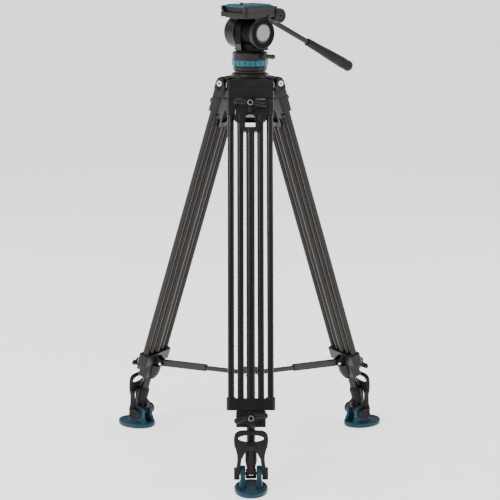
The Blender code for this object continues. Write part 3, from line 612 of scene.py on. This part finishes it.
def bent(mesh):
    bm = bmesh.new()
    bm.from_mesh(mesh)
    bmesh.ops.triangulate(bm, faces=bm.faces)
    for height in (4, 12, 20, 30, 40, 50, 60, 66, 72, 78, 84, 87):
        bmesh.ops.bisect_plane(bm, geom=bm.verts[:] + bm.edges[:] + bm.faces[:],
                               plane_co=(0, 0, height), plane_no=(0, 0, 1))
    for vert in bm.verts:
        y, z = leaf_line(vert.co.z)
        vert.co.y, vert.co.z = vert.co.y + y, z
    return to_mesh(bm)


def strap_shapes():
    """Rubber strap in the foot's frame: discs, arms, a plate with a finger hole and its rolled top."""
    arm = rounded([(22.5, -3), (32.5, -3), (32, 10), (27, 20), (26, 40), (30.4, 54), (29, 62), (7, 62),
                   (8.6, 52), (19.5, 31), (20.5, 12)], [1, 1, 8, 12, 14, 6, 2, 2, 4, 14, 10], 6)
    plate = rounded([(11, 50), (31, 54), (32, 74), (28, 84), (18, 87), (-18, 87), (-28, 84), (-32, 74),
                     (-31, 54), (-11, 50)], [8, 10, 10, 8, 6, 6, 8, 10, 10, 8], 6)
    parts = mirrored(bent(slab(arm, -2.6, 2.6, "Y", 1.2)))
    parts.append(bent(slab(plate, -2.8, 2.8, "Y", 1.3, [ellipse((0, 74.3), 25.2, 6.9, 44)])))
    parts += mirrored(swept(smooth_path([(27, -6.0, 4), (24.6, -6.6, 16), (23.0, -7.0, 30), (23.6, -6.8, 42),
                                         (26.6, -6.6, 54)]), [4.1] * 15 + [3.0, 2.0], 20))
    roll = [(-29.4, 56), (-30.2, 66), (-29.6, 75), (-27.0, 82), (-21.6, 86.4), (-13, 87.8), (0, 88.0),
            (13, 87.8), (21.6, 86.4), (27.0, 82), (29.6, 75), (30.2, 66), (29.4, 56)]
    path = smooth_path([(x, leaf_line(h)[0] + 0.4, leaf_line(h)[1]) for x, h in roll])
    parts.append(swept(path, [2.6 + 1.8 * min(1.0, max(0.0, (point[2] - 58) / 22)) for point in path], 20))
    disc = along(turned([(0, 33.4), (3.6, 33.4), (3.6, 32.4), (7.2, 32.4), (7.6, 33.6), (11.6, 33.6),
                         (12.4, 32.6), (12.4, 23.0), (11.6, 22.2), (0, 22.2)], 64, 0.4), "X")
    parts += mirrored(disc)
    tongue = loft([((0, -12.0, 61), (0, -0.1, 1)), ((0, -7, 61.5), (0, 0, 1)), ((0, -2.6, 61), (0, 0.2, 1))],
                  [15, 13, 11], [5.0, 4.4, 3.4], 1.4)
    lip = loft([((0, -12.6, 52), (0, 1, 0)), ((0, -13.4, 56), (0, 1, 0.2)), ((0, -13.0, 62), (0, 1, 0))],
               [19, 18, 16], [2.0, 3.4, 2.4], 0.9)
    return parts + [tongue, lip]


def smooth_path(points):
    """Catmull-Rom points through the given ones."""
    pts = [Vector(p) for p in points]
    pts = [pts[0]] + pts + [pts[-1]]
    made = []
    for a, b, c, d in zip(pts, pts[1:], pts[2:], pts[3:]):
        for k in range(PATH_STEPS):
            t = k / PATH_STEPS
            made.append(0.5 * (2 * b + (c - a) * t + (2 * a - 5 * b + 4 * c - d) * t * t
                               + (3 * b - a - 3 * c + d) * t ** 3))
    return made + [pts[-1]]


# --- spreader
def arm_line():
    """Radius and height of the arm's outer pin, the arm's slope in degrees and its length."""
    lean = math.radians(LEAN)
    pin_y, pin_z = ARM_PIN
    radius = PIVOT_R - pin_z * math.sin(lean) - pin_y * math.cos(lean)
    height = PIVOT_Z + pin_z * math.cos(lean) - pin_y * math.sin(lean)
    run, rise = radius - HUB_PIVOT_R, HUB_Z - height
    return radius, height, math.degrees(math.atan2(rise, run)), math.hypot(run, rise)


def arm_outer_shapes():
    profile = rounded([(-3, -5.8), (111.8, -5.8), (111.8, 7.4), (-3, 7.4), (-5.8, 3.6), (-5.8, -2.6)],
                      [3, 0.6, 0.6, 3, 2, 2], 5)
    body = slab(profile, -5.9, 5.9, "X", 1.1)
    hollow = box((-4.8, 4.8), (96, 121), (-4.8, 4.8), 0.8, 0.2, "Y")
    mouth = slab(oblong((-6.0, 6.0), (-6.0, 6.0), 1.2), 105.5, 112.0, "Y", 0.5,
                 [oblong((-4.8, 4.8), (-4.8, 4.8), 0.8)])
    return [carve(body, [hollow]), mouth]


def arm_inner_shapes(length):
    rail = slab(oblong((-4.3, 4.3), (-4.3, 4.3), 1.0), length - 104.0, length - 16, "Y", 0.4)
    tongue = slab(rounded([(length - 20, -4), (length, -4)] + arc((length, 0), 4, -80, 80, 14)
                          + [(length, 4), (length - 20, 4)], 0), -2, 2, "X", 0.4)
    return [rail, tongue]


def hub_shapes():
    cap = turned([(0, 9.2), (7, 9.2), (8, 10), (22, 10), (24, 8.6), (24, 7.2), (0, 7.2)], 96, 0.5)
    parts = [cap]
    for azimuth in LEGS.values():
        turn = rotation(azimuth, "Z")
        for side in (-1, 1):
            outline = rounded([(11.8, 8), (20.2, 8), (20.2, -1), (18.6, -4), (13.4, -4), (11.8, -1)], 1.5, 5)
            parts.append(moved(slab(outline, *sorted((side * 8, side * 9.6)), "Y", 0.3), turn))
    return parts


# --- crown
def spider_shapes():
    shell = turned([(33.2, 790.8), (36, 790.8), (37.8, 787), (37.8, 762), (28, 757.7), (26, 744.2),
                    (17.4, 744.2), (17.4, 764)], 96, 1.0)
    curve = [(r, BALL_Z + z) for r, z in arc((0, 0), 33.0, -22, -56, 12)]
    bowl = turned([(33.4, 790.4), (33.0, 788)] + curve + [(17.4, 764)], 96, 0.2)
    parts = [shell, bowl]
    for azimuth in LEGS.values():
        turn = rotation(azimuth, "Z")
        web = box((30, PIVOT_R), (-36, 36), (PIVOT_Z - 6.2, PIVOT_Z + 10.8), 4, 1.6)
        lug = shifted(along(tube_ring(0, 6.4, 36.1, -36.1, 56, 0.9), "Y"), PIVOT_R, 0, PIVOT_Z)
        rib = box((14, 35), (-22, 22), (PIVOT_Z - 9, PIVOT_Z - 3), 3, 1.2)
        parts += [moved(shape, turn) for shape in (web, lug)]
        parts.append(moved(carve(rib, [bar((0, 0, 740), (0, 0, 800), 33.4)]), turn))
    return parts


def axle_shapes():
    head = socket_head(5.7, 1.0, 2.6)
    ends = [shifted(along(head, "X"), 47.2), shifted(along(head, "-X"), -47.2)]
    return ends + [bar((-47.4, 0, 0), (47.4, 0, 0), 2.9, cap=0.2)]


# Gloss black discs at the bottom of the axle heads' hex sockets: painted shade in the sockets.
def socket_shade_shapes():
    return mirrored(bar((47.3, 0, 0), (47.66, 0, 0), 2.75, cap=0.1))


def half_ball_shapes():
    ball = arc((0, 0), 32.2, -5, -52, 22)
    body = turned([(0, 5.6), (34.0, 5.6), (34.6, 4.8), (34.6, -0.9), (33.4, -2.5)] + ball
                  + [(6, -26), (6, -66), (0, -66)], 96, 0.3)
    return [body]


def tie_down_shapes():
    body = turned([(0, -60.5), (20.6, -60.5), (22.6, -63), (22.6, -70), (15, -75), (12.4, -80), (12, -104),
                   (10.5, -105.8), (0, -105.8)], 96, 1.2)
    rib = bar((11.4, 0, -79), (11.4, 0, -103), 1.5, cap=0.8, sides=16)
    return [body] + repeated(rib, 12, "Z")


# --- head
def ring_shapes():
    """Drag ring with shallow flats and fine notches between its ribs."""
    low, high = 806.7, 818.2
    outline = []
    for i in range(RING_RIBS):
        for part, radius in ((0.00, 37.0), (0.62, 37.0), (0.70, 36.0), (0.92, 36.0)):
            angle = math.tau * (i + part) / RING_RIBS
            outline.append((radius * math.cos(angle), radius * math.sin(angle)))
    body = slab(outline, low + 1.2, high - 1.2, "Z", 0.3, [ellipse((0, 0), 30, 30, 96)])
    rims = [tube_ring(30, 36.7, a + 1.6, a, 96, 0.4) for a in (low, high - 1.6)]
    return [body] + rims


def ring_notch_shade_shapes():
    """Darker strips in the notches of the drag ring: painted shade where the notches dip between the ribs.
    """
    strip = box((35.2, 36.2), (-1.1, 1.1), (808.2, 816.8), 0.4, 0.2)
    return repeated(strip, RING_RIBS, "Z", 0.81)


def pan_base_shapes():
    body = turned([(0, 833.9), (33.6, 833.9), (36.0, 831.4), (36.0, 818.7), (29.6, 818.7), (29.6, 806.4),
                   (0, 806.4)], 112, 0.5)
    step = tube_ring(30, 36.2, 822.0, 818.7, 112, 0.4)
    return [body, step]


def pan_collar_shapes():
    return [tube_ring(20, 35.1, 806.2, 805.0, 112, 0.3)]


def pan_lever_shapes():
    boss = along(turned([(0, 8), (4.8, 8), (6, 6.8), (6, 0), (0, 0)], 48, 0.6), "X")
    rod = swept(smooth_path([(4.5, -4, 0.4), (4.5, 4, 0), (4.6, 12, -0.8), (4.6, 20, -1.8), (4.6, 25, -2.4),
                             (4.6, 27.4, -2.7), (4.6, 28.2, -2.8)]),
                [4.0] * 4 + [4.4] * 4 + [4.7] * 4 + [5.0] * 6 + [4.9, 4.7, 4.2, 3.5, 2.6, 1.5, 0.6], 28)
    return [boss, rod]


def housing_shapes():
    block_line = rounded([(-27, -34.4), (27, -34.4), (29, -12)] + arc((0, 0), 30.8, 20, 160, 32)
                         + [(-29, -12)], [3, 3, 6] + [0] * 33 + [6], 5)
    body = slab(block_line, -14.4, 4.8, "X", 0.8)
    neck = turned([(0, -33.6), (28.4, -33.6), (29, -34.4), (29, -37.6), (0, -37.6)], 96, 0.5)
    foot = box((-14.4, 33), (-21.6, 21.6), (-34.4, -21), 3, 1.0)
    drum = along(tube_ring(0, 27.6, 4, 32.8, 96, 0.5), "X")
    rings = [along(tube_ring(26, 28.0, a, a + 1.9, 96, 0.5), "X")
             for a in (6.5, 11.0, 15.5, 20.0, 24.5, 29.0)]
    return [body, neck, foot, drum] + rings


def housing_front_shapes():
    """Paler foot of the housing in front, with a small stop beside it."""
    foot = box((-14.8, 4.6), (-28.4, -22), (-33.2, -21.6), 1.6, 0.8)
    lip = box((-16.2, 6.0), (-28.8, -22), (-34.2, -31.4), 1.6, 0.8)
    return [foot, lip]


def cradle_shapes():
    """Camera platform: its deck with side rails around the channel and the rear block."""
    low, high = DECK_LOW, DECK_TOP
    plan = rounded([(-37, -46), (37, -46), (42, -41), (42, 30), (22, 30), (22, 57), (16, 61.5), (-38, 68),
                    (-45.4, 64), (-45.4, -37)], [4, 4, 3, 2, 1, 3, 5, 6, 5, 7], 8)
    floor_plate = slab(plan, low, high - 4.9, "Z", 1.4)
    rail = slab(rounded([(28.2, -44.6), (36.6, -44.8), (41.6, -40), (41.6, 29.6), (28.2, 29.6)],
                        [1, 4, 4, 2, 1], 6), high - 6.5, high, "Z", 0.9)
    far_rail = slab(rounded([(-28.2, -44.6), (-36.6, -44.8), (-45.0, -37), (-45.0, 62), (-28.2, 62)],
                            [1, 4, 6, 4, 1], 6), high - 6.5, high, "Z", 0.9)
    rear = slab(rounded([(-45.2, 38.3), (21.6, 38.3), (21.6, 56.6), (16, 61), (-38, 67.4), (-45.2, 63.6)],
                        [1, 1, 3, 5, 6, 5], 6), low - 6, high - 0.2, "Z", 1.6)
    high_rail = slab(rounded([(32.5, -44.8), (36.8, -45.2), (41.5, -40.6), (41.5, 29.6), (32.5, 29.6)],
                             [1, 4, 4, 2, 1], 6), high - 1, RAIL_TOP, "Z", 1.1)
    far_high_rail = slab(rounded([(-32.5, -44.8), (-37.2, -45.2), (-45.1, -37.4), (-45.1, 61.6),
                                  (-32.5, 61.6)], [1, 4, 6, 4, 1], 6), high - 1, RAIL_TOP, "Z", 1.1)
    rear_top = box((-33, 19.8), (36.2, 56.8), (high - 1, high + 4.8), 2.5, 1.2)
    skirt = slab(rounded([(33, low + 0.5), (41.8, low + 4), (41.8, low + 9), (20, low + 9)], 1, 4), -40, 4,
                 "Y", 0.8)
    step = slab(rounded([(8, low + 1), (14, low - 2.2), (38.5, low - 2.2), (40.5, low + 2)],
                        [0, 1.5, 1.5, 0], 4),
                -38, 2, "Y", 0.8)
    belly = box((-44.5, 24), (-30, 34), (low - 3.4, low + 2), 5, 1.4)
    left_saddle = box((-43.6, -15.4), (-19.5, 19.5), (TILT_Z + 12, low + 2), 3, 0.9)
    right_saddle = box((33.6, 39), (-15.6, 11.6), (TILT_Z + 12, low + 2), 2, 0.8)
    lock_turn = math.radians(LOCK_TURN)
    inward = Vector((-math.cos(lock_turn), -math.sin(lock_turn), 0))
    lock_boss = bar(Vector(LOCK_END) + inward * 11.6, Vector(LOCK_END) + inward * 23, 4.6)
    return [floor_plate, rail, far_rail, high_rail, far_high_rail, rear, rear_top, skirt, step, belly,
            left_saddle, right_saddle, lock_boss]


def left_drum_shapes():
    drum = along(turned([(0, -48), (25, -48), (30, -46.6), (32.2, -43), (32.2, -15.3), (0, -15.3)], 112,
                        1.6), "X")
    ring = along(tube_ring(20, 31.4, -15.3, -17.2, 112, 0.4), "X")
    return [shifted(shape, z=TILT_Z) for shape in (drum, ring)]


def right_drum_shapes():
    drum = along(turned([(0, 41.0), (21.5, 41.0), (22.6, 42.0), (26.8, 42.0), (27.6, 41.3), (28.4, 41.3),
                         (29.3, 41.6), (31, 39.2), (31, 33.4), (0, 33.4)], 112, 0.5), "X")
    return [shifted(drum, z=TILT_Z)]


def drum_highlight_and_trim_shapes():
    # The pale outer ring on the drum's rounded edge is a painted highlight; the inner one is a lighter trim
    # ring round the badge.
    rim = along(turned([(29.9, 41.2), (30.7, 40.4), (30.9, 39.4), (29.6, 39.6)], 112, 0.15), "X")
    inner = along(turned([(17.6, 41.2), (18.4, 41.7), (19.4, 41.4), (19.0, 40.8)], 112, 0.15), "X")
    return [shifted(rim, z=TILT_Z), shifted(inner, z=TILT_Z + 1.7)]


def drum_face_shapes():
    """Black ring between the badge and the drum's rim."""
    ring = along(tube_ring(19.8, 28.2, 42.12, 41.6, 112, 0.1), "X")
    return [shifted(ring, z=TILT_Z)]


def badge_shapes():
    disc = along(turned([(0, 42.0), (15.2, 42.0), (16.0, 41.5), (16.6, 41.9), (17.1, 41.2), (17.1, 40.5),
                         (0, 40.5)], 96, 0.25), "X")
    return [shifted(disc, z=TILT_Z + 1.7)]


def plate_shapes():
    """Blue upper half of the quick-release plate: its top with a lowered rim."""
    low = DECK_TOP + 0.3
    plan = rounded([(-31, -41), (31, -41), (32, -40), (32, 33), (31, 34), (-31, 34), (-32, 33), (-32, -40)],
                   2.5, 6)
    inner = rounded([(-29, -38), (29, -38), (29, 31), (-29, 31)], 3, 6)
    hole = ellipse((0, SCREW_Y), 3.6, 3.6, 40)
    rim = slab(plan, low + 5.2, PLATE_TOP - 1.6, "Z", 1.0, [hole])
    top = slab(inner, PLATE_TOP - 3.6, PLATE_TOP, "Z", 0.9, [hole])
    return [rim, top]


def plate_base_shapes():
    """Dark lower half of the plate, with the tongue that slides in the platform."""
    low = DECK_TOP + 0.3
    plan = rounded([(-31, -39.6), (31, -39.6), (31.6, -38), (31.6, 33), (30.6, 33.6), (-30.6, 33.6),
                    (-31.6, 33), (-31.6, -38)], 2.5, 6)
    hole = ellipse((0, SCREW_Y), 3.6, 3.6, 40)
    base = slab(plan, low, low + 5.6, "Z", 0.8, [hole])
    tongue = slab(oblong((-27.4, 27.4), (-39.6, 31.6), 2), DECK_TOP - 4.6, low + 1, "Z", 0.5, [hole])
    return [base, tongue]


def plate_grip_shapes():
    return [box((-26, 26), (y, y + 3.0), (PLATE_TOP - 0.7, PLATE_TOP + 0.02), 1.4, 0.25)
            for y in (-34, -14, -6.5, 1, 8.5, 16)]


def plate_pin_shapes():
    thin = bar((0, -33, PLATE_TOP - 1), (0, -33, PLATE_TOP + 5.9), 1.15, cap=0.5, sides=24)
    bump = bar((0, 27.6, PLATE_TOP - 1), (0, 27.6, PLATE_TOP + 1.9), 1.6, cap=0.6, sides=24)
    return [thin, bump]


def camera_screw_shapes():
    body = turned([(0, PLATE_TOP + 4.4), (1.8, PLATE_TOP + 4.2), (3.0, PLATE_TOP + 2.8),
                   (3.0, PLATE_TOP - 5.6), (8.4, PLATE_TOP - 5.6), (8.4, PLATE_TOP - 8), (0, PLATE_TOP - 8)],
                   48, 0.3)
    threads = [turned([(2.6, z + 0.45), (3.15, z), (2.6, z - 0.45)], 40, 0.0)
               for z in (PLATE_TOP + 2.2, PLATE_TOP + 1.1, PLATE_TOP)]
    return [body] + threads


def plate_knob_shapes():
    body = along(turned([(0, 41.0), (7.6, 41.0), (8.4, 40.2), (9.4, 40.2), (10.2, 41.8), (13.0, 41.8),
                         (14.6, 40.2), (14.6, 28.6), (5, 28.6), (5, 22.4), (0, 22.4)], 96, 0.5), "X")
    body = carve(body, [hexagon(2.4, 38, 46, "X")])
    rib = bar((29.6, 14.2, 0), (39.4, 14.2, 0), 0.75, cap=0.4, sides=12)
    return [body] + repeated(rib, 30, "X")


def tilt_lock_shapes():
    body = along(turned([(0, 0), (5.0, 0), (5.9, -0.9), (5.9, -3.2), (5.5, -3.8), (5.2, -11.3), (0, -11.3)],
                        56, 0.3), "X")
    return [carve(body, [hexagon(2.8, -4, 5, "X")])]


def pan_bar_shapes():
    clamp = along(turned([(0, 0), (12.2, 0), (13, -1), (13, -11), (12.2, -12), (6, -12), (5, -11), (0, -11)],
                         72, 0.5), "X")
    tooth = box((-0.4, -2.6), (11.6, 12.9), (-0.6, 0.6), 0.2, 0.15, "X")
    teeth = repeated(tooth, 24, "X")
    drop = math.radians(BAR_DROP)
    run = Vector((0, math.cos(drop), -math.sin(drop)))
    centre = Vector((BAR_X, 0, 0))
    rod = bar(centre + run * 4, centre + run * (BAR_LENGTH - 8), 5.7)
    neck = bar(centre + run * 9, centre + run * 24, 6.8, 6.2, 0.8)
    return [clamp, rod, neck] + teeth


def grip_shapes():
    first, last = GRIP_START, BAR_LENGTH
    body = turned([(5.8, first + 0.1), (7.7, first + 0.1), (8.3, first + 1.2), (8.3, first + 5.4),
                   (7.7, first + 6.2), (8.4, first + 7.4), (9.2, last - 100), (10.8, last - 66),
                   (11.5, last - 40), (11.2, last - 17), (11.9, last - 9), (10.9, last - 3.4),
                   (7, last - 0.1), (0, last - 0.1)], 80, 2.2)
    rings = [tube_ring(10.0, radius, z + 1.1, z - 1.1, 80, 0.5)
             for z, radius in ((last - 22, 11.7), (last - 28, 11.75), (last - 34, 11.8))]
    return [body] + rings


# --- assembly
def build_leg(side, azimuth):
    leg = at(around(azimuth, PIVOT_R, PIVOT_Z), (azimuth + 90, "Z"), (-LEAN, "X"))
    foot = at(around(azimuth, FOOT_R, FOOT_Z), (azimuth + 90, "Z"))
    pin_r, pin_z, slope, length = arm_line()
    arm = at(around(azimuth, pin_r, pin_z), (azimuth + 90, "Z"), (slope, "X"))

    def add(name, shapes, look, body, place=leg, node=None, level=False):
        stands_for = [f"{side}_{node}"] if node else ()
        add_piece(f"{side}_{name}_v", shapes, look, f"{side}_{body}", place, stands_for, level)

    add("shoulder", shoulder_shapes(), "cast_black", "leg", node="shoulder")
    add("outer_tubes", tube_pair_shapes(OUTER_X, -20.6, -644), "tube", "leg", node="outer_tubes")
    add("collar", collar_shapes(), "black_plastic", "leg", node="collar")
    add("arm_pin", [bar((-11.2, *ARM_PIN), (11.2, *ARM_PIN), 2.9)], "steel", "leg")
    add("middle_bracket", middle_bracket_shapes(), "cast_black", "middle_section", node="middle_bracket")
    add("middle_tubes", tube_pair_shapes(MIDDLE_X, -60, -671), "tube", "middle_section", node="middle_tubes")
    add("middle_block", middle_block_shapes(), "cast_black", "middle_section", node="middle_block")
    add("lower_tube", [bar((0, 0, -738), (0, 0, -89.6), CENTRE_R, cap=0.4, sides=56)], "tube",
        "lower_section", node="lower_tube")
    add("guide", guide_shapes(), "cast_black", "lower_section")
    add("half_moon", half_moon_shapes(), "pale_plastic", "lower_section")
    add("foot_boot", boot_shapes(), "rubber", "lower_section", node="foot_boot")
    add("foot_pin", foot_pin_shapes(), "steel", "lower_section")
    add("boot_tip", boot_tip_shapes(), "steel", "lower_section")
    for which, height, tilt in (("upper", UPPER_KNOB_Z, 7.0), ("lower", LOWER_KNOB_Z, -10.0)):
        inward = UPPER_KNOB_IN * MM if which == "upper" else 0.0
        place = leg @ Matrix.Translation((0, inward, height * MM)) @ rotation(tilt, "Y")
        body = f"{which}_lock_knob_body"
        add(f"{which}_lock_knob", knob_shapes(), "black_plastic", body, place, f"{which}_lock_knob")
        add(f"{which}_knob_screw", knob_screw_shapes(), "steel", body, place)
    add("foot_pad", pad_shapes(), "blue_plastic", "foot_pad_body", foot, "foot_pad", True)
    add("foot_strap", strap_shapes(), "rubber", "foot_strap_body", foot, "foot_strap", True)
    add("arm_outer", arm_outer_shapes(), "arm_metal", "arm_outer_body", arm, "arm_outer")
    add("arm_inner", arm_inner_shapes(length), "arm_metal", "arm_inner_body", arm, "arm_inner")
    add_piece(f"{side}_pivot_axle_v", axle_shapes(), "steel", "crown", leg, [f"{side}_pivot_axle"])
    # Painted shade in the axle heads' sockets.
    add_piece(f"{side}_socket_shade_discs_v", socket_shade_shapes(), "gloss_black", "crown", leg)


def build_crown():
    axis = at((0, 0, 0))
    ball = at((0, 0, BALL_Z))
    add_piece("spider_v", spider_shapes(), "cast_black", "crown", axis, ["spider"])
    add_piece("half_ball_v", half_ball_shapes(), "cast_black", "ball_seat", ball, ["half_ball"])
    add_piece("tie_down_knob_v", tie_down_shapes(), "black_plastic", "tie_down_knob_body", ball,
              ["tie_down_knob"])
    add_piece("spreader_hub_v", hub_shapes(), "arm_metal", "spreader_hub_body", at((0, 0, HUB_Z)),
              ["spreader_hub"])
    add_piece("hub_pin_v", [bar((-9.4, -HUB_PIVOT_R, 0), (9.4, -HUB_PIVOT_R, 0), 1.6, cap=0.3)], "steel",
              "spreader_hub_body", at((0, 0, HUB_Z)))


def build_head():
    head = at((0, 0, 0), (HEAD_YAW, "Z"))
    tilt = at((0, 0, TILT_Z), (HEAD_YAW, "Z"))
    add_piece("drag_ring_v", ring_shapes(), "blue_metal", "drag_ring_body", head, ["drag_ring"])
    # Painted shade: darker blue strips in the ring's notches.
    add_piece("ring_notch_shade_v", ring_notch_shade_shapes(), "notch_shade_blue", "drag_ring_body", head)
    add_piece("pan_base_v", pan_base_shapes(), "dark_metal", "pan_head", head, ["pan_base"])
    add_piece("pan_collar_v", pan_collar_shapes(), "gloss_black", "pan_head", head)
    lever = at((0, 0, LEVER_Z), (HEAD_YAW + 3.3, "Z")) @ offset((LEVER_R, 0, 0))
    add_piece("pan_lever_v", pan_lever_shapes(), "dark_metal", "pan_lever_body", lever, ["pan_lever"])
    # The housing's near-black is partly its own black and partly painted shade under the platform.
    add_piece("tilt_housing_v", housing_shapes(), "deep_black", "pan_head", tilt, ["tilt_housing"])
    add_piece("housing_front_v", housing_front_shapes(), "grey_metal", "pan_head", tilt)
    add_piece("tilt_cradle_v", cradle_shapes(), "dark_metal", "tilt_head", head, ["tilt_cradle"])
    add_piece("left_drum_v", left_drum_shapes(), "dark_metal", "tilt_head", head)
    add_piece("right_drum_v", right_drum_shapes(), "cast_black", "tilt_head", head)
    # Pale rings on the badge drum: the outer is a painted edge highlight, the inner a trim ring.
    add_piece("drum_highlight_and_trim_v", drum_highlight_and_trim_shapes(), "grey_metal", "tilt_head", head)
    add_piece("drum_face_v", drum_face_shapes(), "deep_black", "tilt_head", head)
    add_piece("badge_v", badge_shapes(), "badge", "tilt_head", head)
    add_piece("quick_plate_v", plate_shapes(), "blue_metal", "plate_body", head, ["quick_plate"])
    add_piece("plate_base_v", plate_base_shapes(), "cast_black", "plate_body", head)
    add_piece("plate_grips_v", plate_grip_shapes(), "rubber", "plate_body", head)
    add_piece("plate_pins_v", plate_pin_shapes(), "steel", "plate_body", head)
    screw = head @ offset((0, SCREW_Y, 0))
    add_piece("camera_screw_v", camera_screw_shapes(), "grey_metal", "camera_screw_body", screw,
              ["camera_screw"])
    knob = head @ offset(PLATE_KNOB)
    add_piece("plate_knob_v", plate_knob_shapes(), "black_plastic", "plate_knob_body", knob, ["plate_knob"])
    lock = head @ offset(LOCK_END) @ rotation(LOCK_TURN, "Z")
    add_piece("tilt_lock_v", tilt_lock_shapes(), "dark_metal", "tilt_lock_body", lock, ["tilt_lock"])
    hinge = head @ offset(BAR_HINGE)
    add_piece("pan_bar_v", pan_bar_shapes(), "dark_metal", "pan_handle", hinge, ["pan_bar"])
    grip = hinge @ offset((BAR_X, 0, 0)) @ rotation(-90 - BAR_DROP, "X")
    add_piece("grip_v", grip_shapes(), "rubber", "pan_handle", grip, ["grip"], True)


# --- stage
def add_light(name, place, target, size, power, size_y=None):
    data = bpy.data.lights.new(name, "AREA")
    data.shape = "RECTANGLE"
    data.size, data.size_y = size, size_y or size
    data.energy = power
    light = bpy.data.objects.new(name, data)
    bpy.context.scene.collection.objects.link(light)
    light.location = place
    light.rotation_mode = "QUATERNION"
    light.rotation_quaternion = (Vector(target) - Vector(place)).to_track_quat("-Z", "Y")


def floor_material():
    made = bpy.data.materials.new("floor")
    made.use_nodes = True
    tree = made.node_tree
    surface = tree.nodes["Principled BSDF"]
    surface.inputs["Roughness"].default_value = 0.65
    surface.inputs["Emission Color"].default_value = (1.0, 1.0, 1.0, 1.0)
    surface.inputs["Emission Strength"].default_value = 1.3
    grain = tree.nodes.new("ShaderNodeTexNoise")
    grain.inputs["Scale"].default_value = 3.0
    tint = tree.nodes.new("ShaderNodeMix")
    tint.data_type = "RGBA"
    tint.inputs["A"].default_value = (0.92, 0.92, 0.92, 1)
    tint.inputs["B"].default_value = (0.95, 0.95, 0.95, 1)
    tree.links.new(grain.outputs["Fac"], tint.inputs["Factor"])
    tree.links.new(tint.outputs["Result"], surface.inputs["Base Color"])
    return made


def build_stage():
    """A wide pale floor, soft lights and the camera."""
    bm = bmesh.new()
    bmesh.ops.create_grid(bm, x_segments=1, y_segments=1, size=FLOOR_HALF)
    mesh = bpy.data.meshes.new("floor")
    bm.to_mesh(mesh)
    bm.free()
    mesh.materials.append(floor_material())
    floor = bpy.data.objects.new("floor", mesh)
    bpy.context.scene.collection.objects.link(floor)

    world = bpy.data.worlds.new("studio")
    bpy.context.scene.world = world
    world.use_nodes = True
    world.node_tree.nodes["Background"].inputs["Color"].default_value = (1.0, 1.0, 1.0, 1.0)
    world.node_tree.nodes["Background"].inputs["Strength"].default_value = 0.42

    aim = (0.0, 0.04, 0.5)
    add_light("key", (-1.7, -1.6, 2.1), aim, 1.2, 36, 1.6)
    add_light("left_strip", (-2.1, -0.5, 0.8), aim, 0.5, 9, 2.0)
    add_light("right_strip", (2.1, -0.6, 0.8), aim, 0.5, 9, 2.0)
    add_light("top", (0.0, -0.2, 2.9), aim, 1.6, 26)
    add_light("left_rim", (-1.9, 1.9, 1.3), aim, 0.7, 14, 2.0)
    add_light("right_rim", (1.9, 1.9, 1.3), aim, 0.7, 14, 2.0)

    data = bpy.data.cameras.new("camera")
    data.sensor_width, data.lens = CAMERA_SENSOR, CAMERA_LENS
    camera = bpy.data.objects.new("camera", data)
    bpy.context.scene.collection.objects.link(camera)
    yaw = Matrix.Translation((0, AXIS_Y * MM, 0)) @ rotation(CAMERA_YAW, "Z")
    stand = Matrix.Translation(CAMERA_PLACE) @ rotation(90 - CAMERA_DIP, "X")
    camera.matrix_world = yaw @ stand
    bpy.context.scene.camera = camera


for leg_side, leg_azimuth in LEGS.items():
    build_leg(leg_side, leg_azimuth)
build_crown()
build_head()
build_stage()
